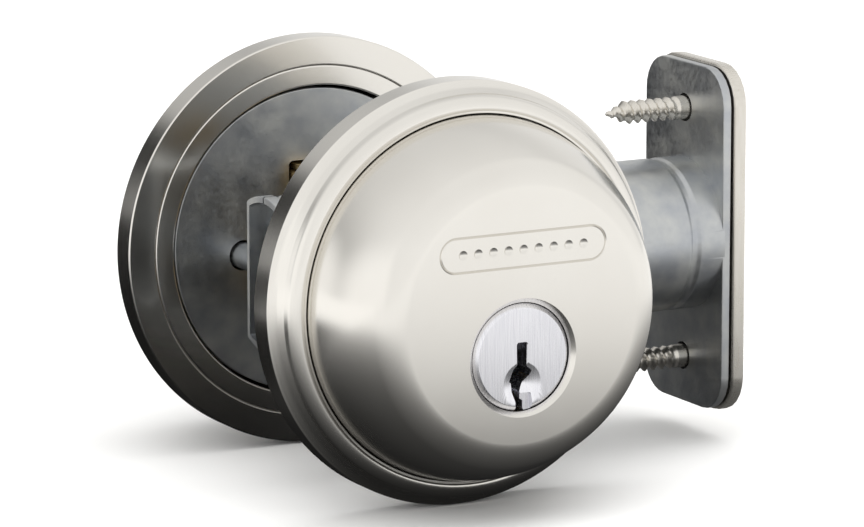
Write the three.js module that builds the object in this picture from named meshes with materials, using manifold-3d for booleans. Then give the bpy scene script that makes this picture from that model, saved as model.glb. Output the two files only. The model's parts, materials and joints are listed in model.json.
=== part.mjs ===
// A double-cylinder deadbolt, in millimetres: keyed from both sides of a 44.45 mm door.
// X runs to the door edge, Y through the door from its outside face to its inside face, Z up.
// The origin is on the axis of the roses, at the door's outside face.
// It is drawn with the bolt drawn back and each keyway upright.

import * as THREE from 'three';
import { mergeVertices } from 'three/addons/utils/BufferGeometryUtils.js';
import Module from 'manifold-3d';

const wasm = await Module();
wasm.setup();

// ---------- The door ----------
const DOOR = 44.45; // thickness
const BACKSET = 60.3; // rose axis to door edge
const MID = DOOR / 2; // the bolt works in the middle of the door
const THROW = 25.4; // travel of the bolt
const GAP = 0.35; // running gap between neighbours

// ---------- Trim ring and housing, on the rose axis ----------
const RING_RADIUS = 33.35;
const RING_WALL = 4.5; // height of the straight outer wall
const RING_CREST = 9.0; // height of the inner bead
const RING_BORE = 29.0;
const HOUSING_RADIUS = RING_BORE - GAP;
const HOUSING_HEIGHT = 24.6;
const HOUSING_STRAIGHT = 8.5; // height of the straight part at the base
const FACE_RADIUS = 19.7; // flat front face, inside the shoulder
const SHOULDER_RADIUS = 5.2;
const SHOULDER_END = THREE.MathUtils.degToRad(30); // slope of the wall where the shoulder meets it
const WALL_RADIUS = 34.5; // the wall bulges in a wide arc
const WALL_END = THREE.MathUtils.degToRad(7); // its slope at the base
const FRONT_WALL = 3.3;
const SIDE_WALL = 3.25;
const INNER_SHOULDER = 9.1;
const INNER_TAPER = 0.7; // how much the hollow narrows towards its shoulder
const WALL_OVERLAP = 1.5; // posts and bosses start this far inside the front wall

// ---------- Keyed cylinder ----------
const PLUG_Z = -6.4; // plug axis, below the rose axis
const PLUG_RADIUS = 6.35;
const HEAD_RADIUS = 8.3;
const HEAD_RECESS = 0.3; // head face behind the housing face
const HEAD_CHAMFER = 0.7;
const SEAT_RADIUS = 9.2; // bevel round the head, in the housing
const SHELL_RADIUS = 8.2;
const SHELL_FRONT = -HOUSING_HEIGHT + FRONT_WALL + GAP;
const SHELL_BACK = 3.0;
const NECK_RADIUS = 5.4;
const NECK_BACK = 5.0;
const TOWER_HALF_WIDTH = 4.0; // tower that holds the pin stacks
const TOWER_TOP = 18.0; // above the plug axis
const TOWER_NOTCH = TOWER_TOP + 1.6; // top of the plate's notch for the tower
const PIN_COUNT = 5;
const PIN_PITCH = 3.96;
const FIRST_PIN_Y = -18.4;
const PIN_RADIUS = 1.43;
const CHAMBER_RADIUS = 1.75;
const SHEAR_LOW = 6.05; // top of the key pins
const SHEAR_HIGH = 6.8; // bottom of the driver pins
const DRIVER_LENGTH = 5.2;
const CHAMBER_FLOOR = 0.2; // the chambers open into the keyway here
const KEY_PIN_LENGTHS = [4.6, 5.4, 4.2, 5.0, 4.4];
const DIMPLE_RADIUS = 3.25;
const DIMPLE_DEPTH = 1.1;
const DIMPLE_DROP = 4.0; // below the plug axis

// ---------- Tailpiece and cylinder cap ----------
const CAP_RADIUS = 7.5;
const CAP_BACK = 7.9;
const CAP_WALL = 1.25;
const BAR_WIDTH = 4.2;
const BAR_THICKNESS = 1.8;
const BAR_END = MID - 0.4;

// ---------- Through-bolts ----------
const SCREW_X = 12.65;
const SCREW_Z = -1.5;
const SCREW_RADIUS = 2.1;
const SCREW_HOLE = SCREW_RADIUS + 0.4;
const SCREW_HEAD_RADIUS = 3.5;
const SCREW_HEAD_HEIGHT = 2.8;
const SCREW_REACH = 10; // past the outside face of the door, into the posts
const SCREW_CAP_RADIUS = 3.6;
const SCREW_WELL_RADIUS = 3.9;
const SCREW_WELL_DEPTH = 6.3; // under the housing face
const POST_RADIUS = 4.0; // tapped posts of the outside housing
const POST_END = 6.0;
const POST_BORE_FRONT = -14.0;
const BOSS_RADIUS = 4.7; // screw bosses of the inside housing
const PLATE_FRONT = -2.4;
const PLATE_BACK = -0.8;
const PLATE_RADIUS = 24.9;

// ---------- Bolt mechanism ----------
const TUBE_RADIUS = 12.5; // fits a 25.4 mm edge bore
const TUBE_WALL = 0.9;
const CASE_HALF_WIDTH = 6.0;
const CASE_WALL = 1.0;
const CASE_BACK = -20.5;
const CASE_FRONT = 23.4;
const CASE_SLOT_HALF_WIDTH = 4.8; // slot in the top of the case, for the crank arm
const CASE_SLOT_BOTTOM = 8.5;
const FACEPLATE_THICKNESS = 2.3;
const FACEPLATE_WIDTH = 25.4;
const FACEPLATE_HEIGHT = 57.2;
const FACEPLATE_CORNER = 6.35;
const FLANGE_THICKNESS = 1.5;
const FLANGE_INSET = 0.4;
const PLATE_SCREW_Z = 20.65;
const PLATE_SCREW_RADIUS = 1.95;
const PLATE_SCREW_HEAD = 4.15;
const PLATE_SCREW_LENGTH = 19;
const PLATE_SCREW_POINT = 3.5;
const BOLT_RADIUS = 11.1;
const BOLT_HALF_THICKNESS = 7.15;
const BOLT_FRONT = BACKSET + 0.5;
const BOLT_LENGTH = 36;
const BOLT_CHAMFER = 0.8;
const HARD_PIN_RADIUS = 2.2;
const HARD_PIN_Z = -5;
const HARD_PIN_FRONT = 51.5;
const CRANK_RADIUS = THROW / Math.SQRT2; // a quarter turn gives the throw
const JOURNAL_RADIUS = 3.6;
const ARM_HALF_WIDTH = 2.3;
const ARM_TIP_RADIUS = 3.3;
const CRANK_PIN_RADIUS = 1.6;
const TAIL_HALF_THICKNESS = 1.2;
const TAIL_BOTTOM = 1.5;
const TAIL_TOP = 11.0;
const FORK_TOP = 12.3;
const FORK_HALF_SLOT = CRANK_PIN_RADIUS + 0.9; // crank swing that the straight drive leaves over
const FORK_PRONG = 2.4;

const ROUND = 36; // sides of the large turned pieces
const MIDDLE_ROUND = 24;
const SMALL_ROUND = 16;
const TINY_ROUND = 10;

// ---------- Finishes ----------
const FINISHES = {
  satin_nickel: { color: 0xbdb8ae, roughness: 0.28, metalness: 1 },
  plug_nickel: { color: 0xcfcfd4, roughness: 0.32, metalness: 1 },
  brass: { color: 0xb6924f, roughness: 0.35, metalness: 1 },
  zinc_steel: { color: 0x9fa3a6, roughness: 0.42, metalness: 1 },
  hard_steel: { color: 0x6f7276, roughness: 0.38, metalness: 1 },
  spring_steel: { color: 0x8b8e92, roughness: 0.3, metalness: 1 },
};

function finish(name) {
  return new THREE.MeshStandardMaterial({ name, ...FINISHES[name] });
}

// ---------- Solids ----------
function signedVolume(position, index) {
  const corner = [new THREE.Vector3(), new THREE.Vector3(), new THREE.Vector3()];
  let volume = 0;
  for (let i = 0; i < index.length; i += 3) {
    corner.forEach((point, k) => point.fromArray(position, index[i + k] * 3));
    volume += corner[0].dot(corner[1].cross(corner[2])) / 6;
  }
  return volume;
}

// A closed three.js geometry as a solid with its faces pointing out.
function solid(geometry) {
  geometry.deleteAttribute('normal');
  geometry.deleteAttribute('uv');
  const merged = mergeVertices(geometry, 1e-4);
  const position = merged.attributes.position.array;
  const index = [];
  for (let i = 0; i < merged.index.count; i += 3) {
    const [a, b, c] = merged.index.array.slice(i, i + 3);
    if (a !== b && b !== c && c !== a) {
      index.push(a, b, c);
    }
  }
  if (signedVolume(position, index) < 0) {
    index.reverse();
  }
  const mesh = new wasm.Mesh({
    numProp: 3,
    vertProperties: Float32Array.from(position),
    triVerts: Uint32Array.from(index),
  });
  return new wasm.Manifold(mesh);
}

function cut(body, ...tools) {
  return tools.reduce((rest, tool) => rest.subtract(tool), body);
}

function join(...bodies) {
  return bodies.reduce((whole, body) => whole.add(body));
}

// A profile of [radius, y] points turned round the Y axis.
function turnedY(profile, sides = ROUND) {
  const points = profile.map(([radius, y]) => new THREE.Vector2(radius, y));
  return solid(new THREE.LatheGeometry(points, sides));
}

// A profile of [radius, x] points turned round a line along X through the middle of the door.
function turnedX(profile, z = 0, sides = ROUND) {
  const points = profile.map(([radius, x]) => new THREE.Vector2(radius, x));
  const geometry = new THREE.LatheGeometry(points, sides);
  geometry.rotateZ(-Math.PI / 2);
  geometry.translate(0, MID, z);
  return solid(geometry);
}

// An upright turned piece: a profile of [radius, z] points round a line along Z.
function turnedZ(profile, y, sides = TINY_ROUND) {
  const points = profile.map(([radius, z]) => new THREE.Vector2(radius, z));
  const geometry = new THREE.LatheGeometry(points, sides);
  geometry.rotateX(Math.PI / 2);
  geometry.translate(0, y, 0);
  return solid(geometry);
}

function cylinderY(radius, y0, y1, x = 0, z = 0, sides = SMALL_ROUND) {
  const geometry = new THREE.CylinderGeometry(radius, radius, y1 - y0, sides);
  geometry.translate(x, (y0 + y1) / 2, z);
  return solid(geometry);
}

function box(x0, x1, y0, y1, z0, z1) {
  const geometry = new THREE.BoxGeometry(x1 - x0, y1 - y0, z1 - z0);
  geometry.translate((x0 + x1) / 2, (y0 + y1) / 2, (z0 + z1) / 2);
  return solid(geometry);
}

// An outline in X and Z, from y0 to y1.
function slabY(shape, y0, y1, curveSegments = 6) {
  const geometry = new THREE.ExtrudeGeometry(shape, { depth: y1 - y0, bevelEnabled: false, curveSegments });
  const along = new THREE.Matrix4().makeBasis(
    new THREE.Vector3(1, 0, 0),
    new THREE.Vector3(0, 0, 1),
    new THREE.Vector3(0, 1, 0),
  );
  geometry.applyMatrix4(along);
  geometry.translate(0, y0, 0);
  return solid(geometry);
}

// An outline in Y and Z about the middle of the door, from x0 to x1.
function slabX(shape, x0, x1, curveSegments = 6) {
  const geometry = new THREE.ExtrudeGeometry(shape, { depth: x1 - x0, bevelEnabled: false, curveSegments });
  const along = new THREE.Matrix4().makeBasis(
    new THREE.Vector3(0, 1, 0),
    new THREE.Vector3(0, 0, 1),
    new THREE.Vector3(1, 0, 0),
  );
  geometry.applyMatrix4(along);
  geometry.translate(x0, MID, 0);
  return solid(geometry);
}

function outline(points) {
  return new THREE.Shape(points.map(([u, v]) => new THREE.Vector2(u, v)));
}

function arc(centreRadius, centreHeight, radius, from, to, steps) {
  const points = [];
  for (let i = 0; i <= steps; i += 1) {
    const angle = from + ((to - from) * i) / steps;
    points.push([centreRadius + radius * Math.cos(angle), centreHeight + radius * Math.sin(angle)]);
  }
  return points;
}

// A named piece in its finish.
function piece(name, body, finishName) {
  const { vertProperties, triVerts } = body.getMesh();
  const geometry = new THREE.BufferGeometry();
  geometry.setAttribute('position', new THREE.BufferAttribute(vertProperties, 3));
  geometry.setIndex(new THREE.BufferAttribute(triVerts, 1));
  geometry.computeVertexNormals();
  const mesh = new THREE.Mesh(geometry, finish(finishName));
  mesh.name = name;
  return mesh;
}

// ---------- Rose: trim ring and housing ----------
function trimRing() {
  const faceSteps = 5;
  const faceOuter = RING_RADIUS - 0.3;
  const faceInner = RING_BORE + 0.5;
  const faceLow = RING_WALL + 0.25;
  const face = [];
  for (let i = 0; i <= faceSteps; i += 1) {
    const t = i / faceSteps;
    const rise = t * t * (3 - 2 * t);
    face.push([
      THREE.MathUtils.lerp(faceOuter, faceInner, t),
      -THREE.MathUtils.lerp(faceLow, RING_CREST, rise),
    ]);
  }
  return turnedY([
    [RING_BORE, 0],
    [RING_RADIUS, 0],
    [RING_RADIUS, -RING_WALL],
    ...face,
    [RING_BORE, -RING_CREST + 0.5],
    [RING_BORE, 0],
  ]);
}

function housingShell() {
  const down = -Math.PI / 2;
  const shoulderY = -HOUSING_HEIGHT + SHOULDER_RADIUS;
  const centreStep = WALL_RADIUS - SHOULDER_RADIUS;
  const wallCentre = FACE_RADIUS - centreStep * Math.cos(SHOULDER_END);
  const wallY = shoulderY + centreStep * Math.sin(SHOULDER_END);
  const innerFace = -HOUSING_HEIGHT + FRONT_WALL;
  const innerBase = HOUSING_RADIUS - SIDE_WALL;
  const innerCentre = innerBase - INNER_TAPER - INNER_SHOULDER;
  return turnedY([
    [0, -HOUSING_HEIGHT],
    ...arc(FACE_RADIUS, shoulderY, SHOULDER_RADIUS, down, -SHOULDER_END, 4),
    ...arc(wallCentre, wallY, WALL_RADIUS, -SHOULDER_END, -WALL_END, 3).slice(1),
    [HOUSING_RADIUS, -HOUSING_STRAIGHT],
    [HOUSING_RADIUS, 0],
    [innerBase, 0],
    ...arc(innerCentre, innerFace + INNER_SHOULDER, INNER_SHOULDER, 0, down, 3),
    [0, innerFace],
  ]);
}

// The bevelled hole that the plug's head sits in.
function headSeat() {
  const bore = HEAD_RADIUS + GAP;
  const bevel = SEAT_RADIUS - bore;
  const seat = turnedY([
    [0, -HOUSING_HEIGHT - 1],
    [SEAT_RADIUS, -HOUSING_HEIGHT - 1],
    [SEAT_RADIUS, -HOUSING_HEIGHT],
    [bore, -HOUSING_HEIGHT + bevel],
    [bore, -HOUSING_HEIGHT + FRONT_WALL + 1],
    [0, -HOUSING_HEIGHT + FRONT_WALL + 1],
  ]);
  return seat.translate([0, 0, PLUG_Z]);
}

// The outside housing carries two tapped posts for the through-bolts.
function outsideHousing() {
  let body = housingShell();
  for (const x of [-SCREW_X, SCREW_X]) {
    body = join(body, cylinderY(POST_RADIUS, -HOUSING_HEIGHT + WALL_OVERLAP, POST_END, x, SCREW_Z));
    body = cut(body, cylinderY(SCREW_HOLE, POST_BORE_FRONT, POST_END + 1, x, SCREW_Z));
  }
  return cut(body, headSeat());
}

// The inside housing carries the wells that the screw heads and their caps sit in.
function insideHousing() {
  let body = housingShell();
  for (const x of [-SCREW_X, SCREW_X]) {
    const bossFront = -HOUSING_HEIGHT + WALL_OVERLAP;
    body = join(body, cylinderY(BOSS_RADIUS, bossFront, PLATE_FRONT - GAP, x, SCREW_Z));
    body = cut(
      body,
      cylinderY(SCREW_WELL_RADIUS, -HOUSING_HEIGHT - 1, -HOUSING_HEIGHT + SCREW_WELL_DEPTH, x, SCREW_Z),
      cylinderY(SCREW_HOLE, -HOUSING_HEIGHT, 1, x, SCREW_Z),
    );
  }
  return cut(body, headSeat());
}

// The steel plate behind each housing, which clamps the cylinder.
function mountingPlate(postHole) {
  const towerClear = TOWER_HALF_WIDTH + GAP;
  let body = cylinderY(PLATE_RADIUS, PLATE_FRONT, PLATE_BACK, 0, 0, ROUND);
  body = cut(
    body,
    cylinderY(SHELL_RADIUS + GAP, PLATE_FRONT - 1, PLATE_BACK + 1, 0, PLUG_Z, MIDDLE_ROUND),
    box(-towerClear, towerClear, PLATE_FRONT - 1, PLATE_BACK + 1, PLUG_Z, PLUG_Z + TOWER_NOTCH),
  );
  for (const x of [-SCREW_X, SCREW_X]) {
    body = cut(body, cylinderY(postHole, PLATE_FRONT - 1, PLATE_BACK + 1, x, SCREW_Z));
  }
  return body;
}

// ---------- Cylinder, drawn with the plug axis as its Y axis ----------
function pinY(row) {
  return FIRST_PIN_Y + row * PIN_PITCH;
}

function pinChambers(bottom, top) {
  const chambers = [];
  for (let row = 0; row < PIN_COUNT; row += 1) {
    const profile = [[0, bottom], [CHAMBER_RADIUS, bottom], [CHAMBER_RADIUS, top], [0, top]];
    chambers.push(turnedZ(profile, pinY(row)));
  }
  return chambers;
}

function cylinderShell() {
  const body = join(
    cylinderY(SHELL_RADIUS, SHELL_FRONT, SHELL_BACK, 0, 0, MIDDLE_ROUND),
    box(-TOWER_HALF_WIDTH, TOWER_HALF_WIDTH, SHELL_FRONT, SHELL_BACK, 1, TOWER_TOP),
  );
  return cut(
    body,
    cylinderY(PLUG_RADIUS + GAP, SHELL_FRONT - 1, SHELL_BACK + 1, 0, 0, MIDDLE_ROUND),
    ...pinChambers(PLUG_RADIUS - 1, TOWER_TOP + 1),
  );
}

function keyway() {
  return outline([
    [-0.85, 2.25],
    [-0.8, -1.1],
    [-1.4, -1.8],
    [-2.05, -3.75],
    [-1.65, -3.9],
    [-1.6, -5.3],
    [-1.05, -7.1],
    [-1.05, -HEAD_RADIUS - 1],
    [0.9, -HEAD_RADIUS - 1],
    [0.4, -7.8],
    [0.4, -6.75],
    [-0.1, -6.5],
    [-0.1, -5.3],
    [0.6, -3.9],
    [1.5, -2.9],
    [1.8, -2.15],
    [0.8, -1.35],
    [0.85, 2.25],
  ]);
}

function plug() {
  const headFront = -HOUSING_HEIGHT + HEAD_RECESS;
  const headBack = SHELL_FRONT - GAP;
  const body = turnedY([
    [0, headFront],
    [HEAD_RADIUS - HEAD_CHAMFER, headFront],
    [HEAD_RADIUS, headFront + HEAD_CHAMFER],
    [HEAD_RADIUS, headBack],
    [PLUG_RADIUS, headBack],
    [PLUG_RADIUS, SHELL_BACK + GAP],
    [NECK_RADIUS, SHELL_BACK + GAP],
    [NECK_RADIUS, NECK_BACK],
    [0, NECK_BACK],
  ], MIDDLE_ROUND);
  const dimple = turnedY([
    [0, headFront - 1],
    [DIMPLE_RADIUS, headFront - 1],
    [DIMPLE_RADIUS, headFront],
    [0, headFront + DIMPLE_DEPTH],
  ], SMALL_ROUND);
  return cut(
    body,
    dimple.translate([0, 0, -DIMPLE_DROP]),
    slabY(keyway(), headFront - 1, NECK_BACK + 1),
    ...pinChambers(CHAMBER_FLOOR, PLUG_RADIUS + 1),
  );
}

function keyPin(row) {
  const bottom = SHEAR_LOW - KEY_PIN_LENGTHS[row];
  const point = 0.6;
  return turnedZ([
    [0, bottom],
    [PIN_RADIUS - 0.7, bottom],
    [PIN_RADIUS, bottom + point],
    [PIN_RADIUS, SHEAR_LOW],
    [0, SHEAR_LOW],
  ], pinY(row));
}

function driverPin(row) {
  const top = SHEAR_HIGH + DRIVER_LENGTH;
  return turnedZ([
    [0, SHEAR_HIGH],
    [PIN_RADIUS, SHEAR_HIGH],
    [PIN_RADIUS, top],
    [0, top],
  ], pinY(row));
}

function pinSpring(row) {
  const bottom = SHEAR_HIGH + DRIVER_LENGTH + GAP;
  return turnedZ([
    [0, bottom],
    [PIN_RADIUS - 0.05, bottom],
    [PIN_RADIUS - 0.05, TOWER_TOP],
    [0, TOWER_TOP],
  ], pinY(row));
}

function pinCover() {
  const halfWidth = TOWER_HALF_WIDTH - 0.4;
  const bottom = TOWER_TOP + GAP;
  return box(-halfWidth, halfWidth, SHELL_FRONT + 0.5, SHELL_BACK - 0.5, bottom, bottom + 0.8);
}

// The cap screws on the plug's neck and holds the tailpiece's disc.
function cylinderCap() {
  const front = SHELL_BACK + GAP;
  const wallFront = CAP_BACK - CAP_WALL;
  const barHole = BAR_WIDTH / 2 + 0.6;
  return cut(
    cylinderY(CAP_RADIUS, front + GAP, CAP_BACK, 0, 0, MIDDLE_ROUND),
    cylinderY(NECK_RADIUS + GAP, front, wallFront, 0, 0, MIDDLE_ROUND),
    cylinderY(barHole, wallFront - 1, CAP_BACK + 1),
  );
}

function tailpiece() {
  const discBack = CAP_BACK - CAP_WALL - GAP;
  const halfWidth = BAR_WIDTH / 2;
  const halfThickness = BAR_THICKNESS / 2;
  return join(
    cylinderY(NECK_RADIUS - 0.7, NECK_BACK + GAP, discBack),
    box(-halfThickness, halfThickness, discBack - 0.5, BAR_END, -halfWidth, halfWidth),
  );
}

// One side of the lock, drawn as the outside half: its face looks along -Y.
function lockHalf(side, housing, postHole) {
  const half = new THREE.Group();
  half.add(piece(`${side}_trim_ring`, trimRing(), 'satin_nickel'));
  half.add(piece(`${side}_housing`, housing, 'satin_nickel'));
  half.add(piece(`${side}_mounting_plate`, mountingPlate(postHole), 'zinc_steel'));

  const cylinder = new THREE.Group();
  cylinder.position.z = PLUG_Z;
  cylinder.add(piece(`${side}_cylinder_shell`, cylinderShell(), 'brass'));
  cylinder.add(piece(`${side}_pin_cover`, pinCover(), 'brass'));
  cylinder.add(piece(`${side}_plug`, plug(), 'plug_nickel'));
  cylinder.add(piece(`${side}_cylinder_cap`, cylinderCap(), 'brass'));
  cylinder.add(piece(`${side}_tailpiece`, tailpiece(), 'zinc_steel'));
  for (let row = 0; row < PIN_COUNT; row += 1) {
    cylinder.add(piece(`${side}_key_pin_${row + 1}`, keyPin(row), 'brass'));
    cylinder.add(piece(`${side}_driver_pin_${row + 1}`, driverPin(row), 'brass'));
    cylinder.add(piece(`${side}_pin_spring_${row + 1}`, pinSpring(row), 'spring_steel'));
  }
  half.add(cylinder);
  return half;
}

// ---------- Through-bolts and their caps, drawn from the inside half ----------
function throughBolt(x) {
  const headFront = -HOUSING_HEIGHT + SCREW_WELL_DEPTH - GAP - SCREW_HEAD_HEIGHT;
  const headBack = headFront + SCREW_HEAD_HEIGHT;
  const tip = DOOR + SCREW_REACH;
  const socket = new THREE.CylinderGeometry(1.5, 1.5, 3.2, 6);
  socket.translate(0, headFront, 0);
  const body = turnedY([
    [0, headFront],
    [SCREW_HEAD_RADIUS - 0.6, headFront],
    [SCREW_HEAD_RADIUS, headFront + 0.6],
    [SCREW_HEAD_RADIUS, headBack],
    [SCREW_RADIUS, headBack],
    [SCREW_RADIUS, tip - 0.8],
    [SCREW_RADIUS - 0.6, tip],
    [0, tip],
  ], SMALL_ROUND);
  return cut(body, solid(socket)).translate([x, 0, SCREW_Z]);
}

function screwCap(x) {
  const front = -HOUSING_HEIGHT + 0.05;
  const body = turnedY([
    [0, front],
    [SCREW_CAP_RADIUS - 0.25, front],
    [SCREW_CAP_RADIUS, front + 0.25],
    [SCREW_CAP_RADIUS, front + 2.4],
    [0, front + 2.4],
  ], MIDDLE_ROUND);
  return body.translate([x, 0, SCREW_Z]);
}

function fasteners() {
  const group = new THREE.Group();
  group.add(piece('through_bolt_hinge_side', throughBolt(SCREW_X), 'zinc_steel'));
  group.add(piece('through_bolt_edge_side', throughBolt(-SCREW_X), 'zinc_steel'));
  group.add(piece('screw_cap_hinge_side', screwCap(SCREW_X), 'satin_nickel'));
  group.add(piece('screw_cap_edge_side', screwCap(-SCREW_X), 'satin_nickel'));
  return group;
}

// ---------- Bolt case, sleeve and faceplate ----------
function boltSection(radius, halfThickness) {
  const corner = Math.asin(halfThickness / radius);
  const shape = new THREE.Shape();
  shape.absarc(0, 0, radius, Math.PI / 2 - corner, Math.PI / 2 + corner, false);
  shape.absarc(0, 0, radius, -Math.PI / 2 - corner, -Math.PI / 2 + corner, false);
  shape.closePath();
  return shape;
}

// One half of the flattened tube behind the sleeve; side is -1 for outside and 1 for inside.
function caseHalf(side) {
  const outer = slabX(boltSection(TUBE_RADIUS, CASE_HALF_WIDTH), CASE_BACK, CASE_FRONT);
  const inner = boltSection(TUBE_RADIUS - CASE_WALL, CASE_HALF_WIDTH - CASE_WALL);
  const slotHalf = CRANK_RADIUS + 0.5;
  const far = 30;
  const otherSide = side > 0 ? MID - far : MID - GAP / 2;
  let body = cut(
    outer,
    slabX(inner, CASE_BACK - 1, CASE_FRONT + 1),
    box(-far, far, otherSide, otherSide + far + GAP / 2, -far, far),
    box(-slotHalf, slotHalf, MID - CASE_SLOT_HALF_WIDTH, MID + CASE_SLOT_HALF_WIDTH, CASE_SLOT_BOTTOM, far),
    cylinderY(JOURNAL_RADIUS + 0.3, MID - far, MID + far, 0, PLUG_Z),
  );
  for (const x of [-SCREW_X, SCREW_X]) {
    body = cut(body, cylinderY(SCREW_HOLE + 0.3, MID - far, MID + far, x, SCREW_Z));
  }
  return body;
}

function roundedPlate(width, height, corner) {
  const u = width / 2;
  const v = height / 2;
  const shape = new THREE.Shape();
  shape.absarc(u - corner, v - corner, corner, 0, Math.PI / 2, false);
  shape.absarc(-u + corner, v - corner, corner, Math.PI / 2, Math.PI, false);
  shape.absarc(-u + corner, -v + corner, corner, Math.PI, Math.PI * 1.5, false);
  shape.absarc(u - corner, -v + corner, corner, Math.PI * 1.5, Math.PI * 2, false);
  shape.closePath();
  return shape;
}

// The cone and hole for a faceplate screw.
function countersink(z) {
  const hole = PLATE_SCREW_RADIUS + GAP;
  const rim = PLATE_SCREW_HEAD + GAP;
  const back = BACKSET - 20;
  const front = BACKSET + 0.5;
  return turnedX([
    [0, back],
    [hole, back],
    [hole, BACKSET - rim + hole],
    [rim + 0.5, front],
    [0, front],
  ], z, SMALL_ROUND);
}

// The sleeve is swaged to the flange that lies in the mortise behind the faceplate.
function boltSleeve() {
  const flangeFront = BACKSET - FACEPLATE_THICKNESS - GAP;
  const flangeBack = flangeFront - FLANGE_THICKNESS;
  const back = CASE_FRONT + GAP;
  const flange = roundedPlate(
    FACEPLATE_WIDTH - 2 * FLANGE_INSET,
    FACEPLATE_HEIGHT - 2 * FLANGE_INSET,
    FACEPLATE_CORNER - FLANGE_INSET,
  );
  const tubeProfile = [[0, back], [TUBE_RADIUS, back], [TUBE_RADIUS, flangeFront], [0, flangeFront]];
  const tube = turnedX(tubeProfile, 0, MIDDLE_ROUND);
  const inner = TUBE_RADIUS - TUBE_WALL;
  const mouth = boltSection(BOLT_RADIUS + GAP, BOLT_HALF_THICKNESS + GAP);
  let body = cut(
    join(slabX(flange, flangeBack, flangeFront), tube),
    turnedX([[0, back - 1], [inner, back - 1], [inner, flangeBack], [0, flangeBack]], 0, MIDDLE_ROUND),
    slabX(mouth, flangeBack - 1, flangeFront + 1),
  );
  for (const z of [-PLATE_SCREW_Z, PLATE_SCREW_Z]) {
    body = cut(body, countersink(z));
  }
  return body;
}

function faceplate() {
  const plate = roundedPlate(FACEPLATE_WIDTH, FACEPLATE_HEIGHT, FACEPLATE_CORNER);
  const mouth = boltSection(BOLT_RADIUS + GAP, BOLT_HALF_THICKNESS + GAP);
  return cut(
    slabX(plate, BACKSET - FACEPLATE_THICKNESS, BACKSET),
    slabX(mouth, BACKSET - 5, BACKSET + 1),
    countersink(PLATE_SCREW_Z),
    countersink(-PLATE_SCREW_Z),
  );
}

function faceplateScrew(z) {
  const front = BACKSET - 0.1;
  const tip = front - PLATE_SCREW_LENGTH;
  const body = turnedX([
    [0, tip],
    [PLATE_SCREW_RADIUS, tip + PLATE_SCREW_POINT],
    [PLATE_SCREW_RADIUS, front - PLATE_SCREW_HEAD + PLATE_SCREW_RADIUS],
    [PLATE_SCREW_HEAD, front],
    [0, front],
  ], z, SMALL_ROUND);
  const reach = 1.9; // cross recess
  const halfBlade = 0.45;
  const depth = 1.4;
  return cut(
    body,
    box(front - depth, front + 1, MID - reach, MID + reach, z - halfBlade, z + halfBlade),
    box(front - depth, front + 1, MID - halfBlade, MID + halfBlade, z - reach, z + reach),
  );
}

function boltHardware() {
  const group = new THREE.Group();
  group.add(piece('bolt_case_outside_half', caseHalf(-1), 'zinc_steel'));
  group.add(piece('bolt_case_inside_half', caseHalf(1), 'zinc_steel'));
  group.add(piece('bolt_sleeve', boltSleeve(), 'zinc_steel'));
  group.add(piece('faceplate', faceplate(), 'satin_nickel'));
  group.add(piece('faceplate_screw_top', faceplateScrew(PLATE_SCREW_Z), 'satin_nickel'));
  group.add(piece('faceplate_screw_bottom', faceplateScrew(-PLATE_SCREW_Z), 'satin_nickel'));
  return group;
}

// ---------- Bolt, its tail and its hardened pin ----------
const BOLT_BACK = BOLT_FRONT - BOLT_LENGTH;
const TENON_LENGTH = 10;
const RETRACTED_PIN_X = -THROW / 2;

function bolt() {
  const round = turnedX([
    [0, BOLT_BACK],
    [BOLT_RADIUS, BOLT_BACK],
    [BOLT_RADIUS, BOLT_FRONT - BOLT_CHAMFER],
    [BOLT_RADIUS - BOLT_CHAMFER, BOLT_FRONT],
    [0, BOLT_FRONT],
  ]);
  const side = BOLT_HALF_THICKNESS;
  const flats = new THREE.ExtrudeGeometry(outline([
    [BOLT_BACK - 1, MID - side],
    [BOLT_FRONT - BOLT_CHAMFER, MID - side],
    [BOLT_FRONT, MID - side + BOLT_CHAMFER],
    [BOLT_FRONT, MID + side - BOLT_CHAMFER],
    [BOLT_FRONT - BOLT_CHAMFER, MID + side],
    [BOLT_BACK - 1, MID + side],
  ]), { depth: 30, bevelEnabled: false });
  flats.translate(0, 0, -15);
  const slot = TAIL_HALF_THICKNESS + GAP;
  const bore = HARD_PIN_RADIUS + GAP;
  const boreFront = HARD_PIN_FRONT + 0.5;
  return cut(
    round.intersect(solid(flats)),
    box(BOLT_BACK - 1, BOLT_BACK + TENON_LENGTH, MID - slot, MID + slot, TAIL_BOTTOM - GAP, 20),
    turnedX(
      [[0, BOLT_BACK - 1], [bore, BOLT_BACK - 1], [bore, boreFront], [0, boreFront]],
      HARD_PIN_Z,
      TINY_ROUND,
    ),
  );
}

function hardenedPin() {
  const back = BOLT_BACK + 0.8;
  return turnedX(
    [[0, back], [HARD_PIN_RADIUS, back], [HARD_PIN_RADIUS, HARD_PIN_FRONT], [0, HARD_PIN_FRONT]],
    HARD_PIN_Z,
    TINY_ROUND,
  );
}

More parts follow.
